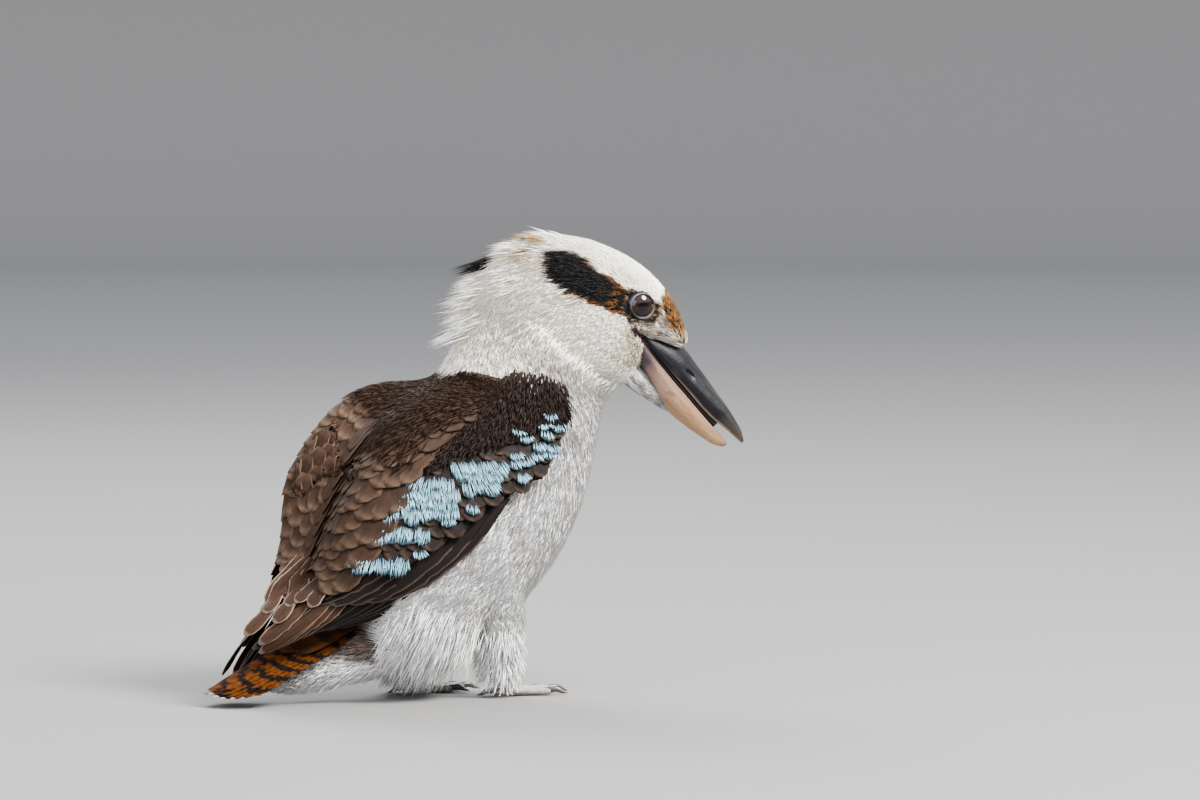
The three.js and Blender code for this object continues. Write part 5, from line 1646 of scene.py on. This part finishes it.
# Bill: place along its axis, half width, and heights of culmen, upper edge, lower edge and keel
BILL = [
    [-2, 14, 3, 0.2, -1, -10.6], [4, 14.4, 5.6, -0.4, -1.6, -11.6], [11, 14, 8.8, -1.2, -2.7, -12.8],
    [19, 13, 10.8, -1.9, -3.6, -14], [26, 11.8, 10.9, -2.1, -4.1, -15.6], [32, 10.6, 10.2, -2.2, -4.5, -16.8],
    [42, 8.7, 9.1, -2.5, -4.9, -17.6], [52, 6.9, 7.9, -3, -5.3, -16.3], [61, 5.1, 6.9, -2.7, -5.6, -14.4],
    [70, 3.2, 5.2, -1.3, -5.7, -12], [74, 2.2, 4.3, -1, -6, -9.6],
]
UPPER_TIP = [[76.8, 1.5, 3.1, -0.75, 0, 0], [78.8, 0.95, 2.0, -0.55, 0, 0], [80, 0.6, 1.2, -0.4, 0, 0]]
LOWER_TIP = [[75.2, 1.5, 0, 0, -6.3, -8.4]]
UPPER_OUTLINE = [[1, 0], [0.98, 0.2], [0.84, 0.5], [0.52, 0.8], [0, 1]]
LOWER_OUTLINE = [[0.93, 0], [0.9, 0.32], [0.66, 0.72], [0, 1]]
BILL_RINGS = 110
BILL_OUTSIDE, BILL_INSIDE = 40, 14  # points of a ring on the outside and in the mouth
NOSTRIL_ALONG, NOSTRIL_UP, NOSTRIL_LONG, NOSTRIL_HIGH = 35, 4.4, 3.0, 0.95
# Colours of the upper half
SLATE = np.array([0.0024, 0.0023, 0.0028])
SCUFF = np.array([0.024, 0.016, 0.012])
UPPER_STREAK = np.array([0.013, 0.013, 0.015])
WORN_TIP = np.array([0.06, 0.042, 0.03])
UPPER_RIM = np.array([0.13, 0.095, 0.07])
# Colours of the lower half and the mouth
LOWER_BASE = np.array([0.29, 0.175, 0.125])
LOWER_END = np.array([0.32, 0.18, 0.088])
LOWER_STREAK = np.array([0.20, 0.105, 0.065])
DUSKY = np.array([0.042, 0.030, 0.038])
LOWER_RIM = np.array([0.17, 0.10, 0.08])
LOWER_SPECK = np.array([0.12, 0.06, 0.04])
KEEL = np.array([0.22, 0.12, 0.06])
INSIDE_BILL = np.array([0.10, 0.045, 0.05])
LINING = np.array([0.06, 0.042, 0.055])


def on_bill(along, side, height):
    c, s = math.cos(BILL_PITCH), math.sin(BILL_PITCH)
    return head_place(GAPE[0] + along * c + height * s, side, GAPE[1] - along * s + height * c)


def smooth_outline(outline, count):
    """Both sides of an outline that is given from its edge to its middle."""
    outline = np.asarray(outline, float)
    mirrored = np.concatenate([outline, (outline * [-1, 1])[-2::-1]])
    return row_at(mirrored, np.linspace(0, len(mirrored) - 1, count))


def mandible(upper):
    """Rings of one half of the bill: over its outside from edge to edge, and back through the mouth."""
    rows = row_at(BILL, np.linspace(0, len(BILL) - 1, BILL_RINGS))
    outline = smooth_outline(UPPER_OUTLINE if upper else LOWER_OUTLINE, BILL_OUTSIDE)
    back = np.linspace(-1, 1, BILL_INSIDE + 2)[1:-1]
    rings = []
    rows = np.concatenate([rows, UPPER_TIP if upper else LOWER_TIP])
    for along, half, culmen, edge_up, edge_low, keel in rows:
        edge, far = (edge_up, culmen) if upper else (edge_low, keel)
        hollow = (0.34 if upper else 0.22) * (1 - back ** 2) * (far - edge)
        side = np.concatenate([outline[:, 0] * half, -back * half * outline[0, 0]])
        height = np.concatenate([edge + outline[:, 1] * (far - edge), edge + hollow])
        rings.append(np.stack([np.full(side.shape, along), side, height], -1))
    return np.array(rings)


def nostril(along, up):
    """Below 1 inside the nostril's slit."""
    return np.hypot((along - NOSTRIL_ALONG) / NOSTRIL_LONG, (up - NOSTRIL_UP) / NOSTRIL_HIGH)


def from_edge(along, up, column):
    """How far a height is from one of the bill's edges."""
    return np.abs(up - np.interp(along, [row[0] for row in BILL], [row[column] for row in BILL]))


def upper_colour(flat, a, h):
    scuff = patches(flat, 0.1, 0.8, (3 / 0.35, 3, 2.5), 4.0) * smooth_step(2, 7, h) * smooth_step(30, 44, a)
    colour = mix(SLATE, SCUFF, 0.6 * scuff)
    colour = mix(colour, UPPER_STREAK, 0.4 * patches(flat, 0.2, 0.7, (8, 1.6, 1), 1.5))
    worn = smooth_step(60, 78, a + 3 * wave(flat * [0.5, 1, 1], 2.0, 0.4))
    colour = mix(colour, WORN_TIP, 0.35 * worn)
    rim = smooth_step(1.4, 0.3, from_edge(a, h, 3)) * smooth_step(20, 45, a)
    colour = mix(colour, UPPER_RIM, 0.5 * rim)
    # painted shade: the nostril's slit is painted near black, darker than its shallow hollow would show
    return mix(colour, BLACK * 0.3, smooth_step(1.15, 0.8, nostril(a, h)))


def lower_colour(flat, a, h):
    colour = mix(LOWER_BASE, LOWER_END, smooth_step(24, 56, a))
    colour = mix(colour, LOWER_STREAK, 0.45 * smooth_step(0.0, 0.8, wave(flat * [0.18, 1, 1.4], 2.2, 2.6)))
    dusky = smooth_step(27, 13, a + 3 * wave(flat, 4.0, 1.0) + 0.5 * (h + 8))
    colour = mix(colour, DUSKY, 0.95 * dusky)
    colour = mix(colour, LOWER_RIM, 0.55 * smooth_step(2.6, 0.6, from_edge(a, h, 4)))
    speck = smooth_step(0.35, 0.75, wave(flat * [0.5, 1, 1], 1.7, 0.3))
    speck = speck * smooth_step(0.0, 0.5, wave(flat, 6.0, 2.0) + 0.3)
    colour = mix(colour, LOWER_SPECK, 0.6 * speck)
    return mix(colour, KEEL, 0.4 * smooth_step(-11, -16, h))


def make_mandible(name, upper):
    rings = mandible(upper)
    along, across, up = np.moveaxis(rings, -1, 0)
    outer = np.broadcast_to(np.arange(across.shape[1]) < BILL_OUTSIDE, across.shape)
    ripple = 0.10 * wave(rings * [0.25, 1, 1], 2.2, 1.0) + 0.05 * wave(rings * [0.5, 1, 1], 0.9, 2.0)
    if upper:
        groove = np.exp(-(((up - (4.6 - 0.03 * (along - NOSTRIL_ALONG))) / 1.1) ** 2))
        groove = groove * smooth_step(27, 36, along) * smooth_step(62, 44, along)
        hollow = 0.7 * smooth_step(1.25, 0.6, nostril(along, up)) + 0.3 * groove
        across = across * (1 - outer * hollow / np.maximum(np.abs(across), 2))
    across = across + np.sign(across) * ripple * outer
    points, faces = loft(on_bill(along, across, up))
    rings = np.stack([along, across, up], -1)
    flat = np.concatenate([rings.reshape(-1, 3), rings[:1].mean(1), rings[-1:].mean(1)])
    colour = (upper_colour if upper else lower_colour)(flat, flat[:, 0], flat[:, 2])
    colour = mix(colour, INSIDE_BILL, 0.9 * np.append(~outer.ravel(), [False, False]))
    if not upper:
        faces = faces[:, ::-1]
    make_object(name, points, faces, horn, colour, replaced=(name,))


horn = painted_material("horn", 0.36, 0.12, 0.25, 1300.0, bump=0.3)
make_mandible("bill_upper", True)
make_mandible("bill_lower", False)


MOUTH_ROWS, MOUTH_AROUND = 48, 20
MOUTH_END = 8.3  # in rows of BILL


def make_mouth():
    """The lining between the two halves of the bill, as far as the middle of it: mouth colour at its base and
    near black beyond, painted shade in the gap.
    """
    rows = row_at(BILL, np.linspace(0, MOUTH_END, MOUTH_ROWS))
    a = np.arange(MOUTH_AROUND) / MOUTH_AROUND * 2 * math.pi
    rings = []
    for along, half, _, edge_up, edge_low, _ in rows:
        thin = (edge_up - edge_low) / 2 + 0.9
        wide = (half - 1.0) * math.sqrt(max(0.02, 1 - max(0, (along - 40) / 24.5) ** 2))
        rings.append(on_bill(along + 0 * a, np.cos(a) * wide, (edge_up + edge_low) / 2 + np.sin(a) * thin))
    points, faces = loft(rings)
    along = np.append(np.repeat(rows[:, 0], MOUTH_AROUND), [-2, 62])
    lining = painted_material("mouth_lining", 0.4, 0.4, 0.1, 900.0)
    # painted shade: the lining darkens to near black away from the base
    colours = mix(LINING, BLACK * 1.5, smooth_step(2, 13, along))
    make_object("mouth", points, faces, lining, colours)


make_mouth()


# Feet
TOES = [(4, 22, 2.6), (-19, 18.5, 2.4), (27, 15, 2.4), (176, 12, 2.4)]  # direction, length and thickness
CLAW = 9.0
SHANK = [[-9.5, 0, 19, 3.4, 3.8], [-6, 0, 10.5, 2.9, 3.1], [-1.5, 0, 4.0, 3.3, 3]]
PAD_SIZE, PAD_PLACE = [6.0, 4.9, 2.5], [-0.5, 0, 2.5]
SCALES, DARK_SCALES = np.array([0.22, 0.20, 0.17]), np.array([0.11, 0.105, 0.10])
CLAW_HORN = np.array([0.035, 0.03, 0.028])
FOOT_LOWEST = 0.05


def scaled_limb(stops, steps, around, scutes, depth):
    """A limb with raised rings across its upper side."""
    rings = limb_rings(stops, steps, around)
    middle = rings.mean(1, keepdims=True)
    q = np.linspace(0, 1, len(rings))
    saw = (q * scutes) % 1.0
    raised = depth * (saw ** 0.5 - 0.7)[:, None] + depth * 0.25 * rng.normal(0, 1, (len(rings), around))
    radius = np.maximum(np.linalg.norm(rings - middle, axis=-1), 0.5)
    return middle + (rings - middle) * (1 + raised / radius)[..., None]


def toe_and_claw(angle, long, thick):
    """A toe and its claw, as closed solids."""

    def stop(out, *rest):
        return [out * math.cos(angle), out * math.sin(angle), *rest]

    start = 3 if abs(angle) > math.pi / 2 else 0
    toe = [
        stop(start, thick * 0.97, thick * 1.06, thick * 0.97),
        stop(long * 0.45, thick * 0.9, thick, thick * 0.9),
        stop(long * 0.9, thick * 0.8, thick * 0.86, thick * 0.8),
        stop(long, thick * 0.72, thick * 0.6, thick * 0.6),
    ]
    claw = [
        stop(long - 3, thick * 0.95, 1.6, 1.9),
        stop(long + CLAW * 0.3, thick * 0.95 + 0.6, 1.25, 1.55),
        stop(long + CLAW * 0.7, thick * 0.62, 0.8, 0.95),
        stop(long + CLAW, 0.8, 0.2, 0.25),
    ]
    return loft(scaled_limb(toe, 56, 18, int(long / 1.9), 0.20)), loft(limb_rings(claw, 24, 14))


def together(parts, place):
    """Closed solids as one, held above the floor and moved to a place."""
    counts = np.cumsum([0] + [len(p) for p, _ in parts])
    points = np.concatenate([p for p, _ in parts])
    points[:, 2] = np.maximum(points[:, 2], FOOT_LOWEST)
    return points, points + place, np.concatenate([f + n for (_, f), n in zip(parts, counts)])


def make_foot(side, mirror, back):
    place = np.array([back, -STANCE / 2 * mirror, 0])
    shank = loft(scaled_limb(SHANK, 40, 20, 8, 0.22))
    pad_points, pad_faces = ball(16, 24)
    toes = [toe_and_claw(math.radians(angle * mirror), long, thick) for angle, long, thick in TOES]
    solids = [shank, (pad_points * PAD_SIZE + PAD_PLACE, pad_faces)] + [toe for toe, _ in toes]
    points, placed, faces = together(solids, place)
    colours = SCALES * (1 + 0.18 * wave(points, 1.6, 1.0))[:, None]
    colours = mix(colours, DARK_SCALES, 0.6 * patches(points, 0.1, 0.8, 4.0, 2.0))
    scaly = painted_material("scales_" + side, 0.55, 0.35, 0.25, 1400.0, bump=0.5)
    make_object("foot_" + side, placed, faces, scaly, colours, replaced=("foot_" + side,))
    points, placed, faces = together([claw for _, claw in toes], place)
    claw_horn = painted_material("claws_" + side, 0.3, 0.5, 0.1, 900.0)
    colours = np.broadcast_to(CLAW_HORN, points.shape)
    make_object("claws_" + side, placed, faces, claw_horn, colours)


make_foot("right", 1, 0)
make_foot("left", -1, -STRIDE)

make_stage()
make_camera()
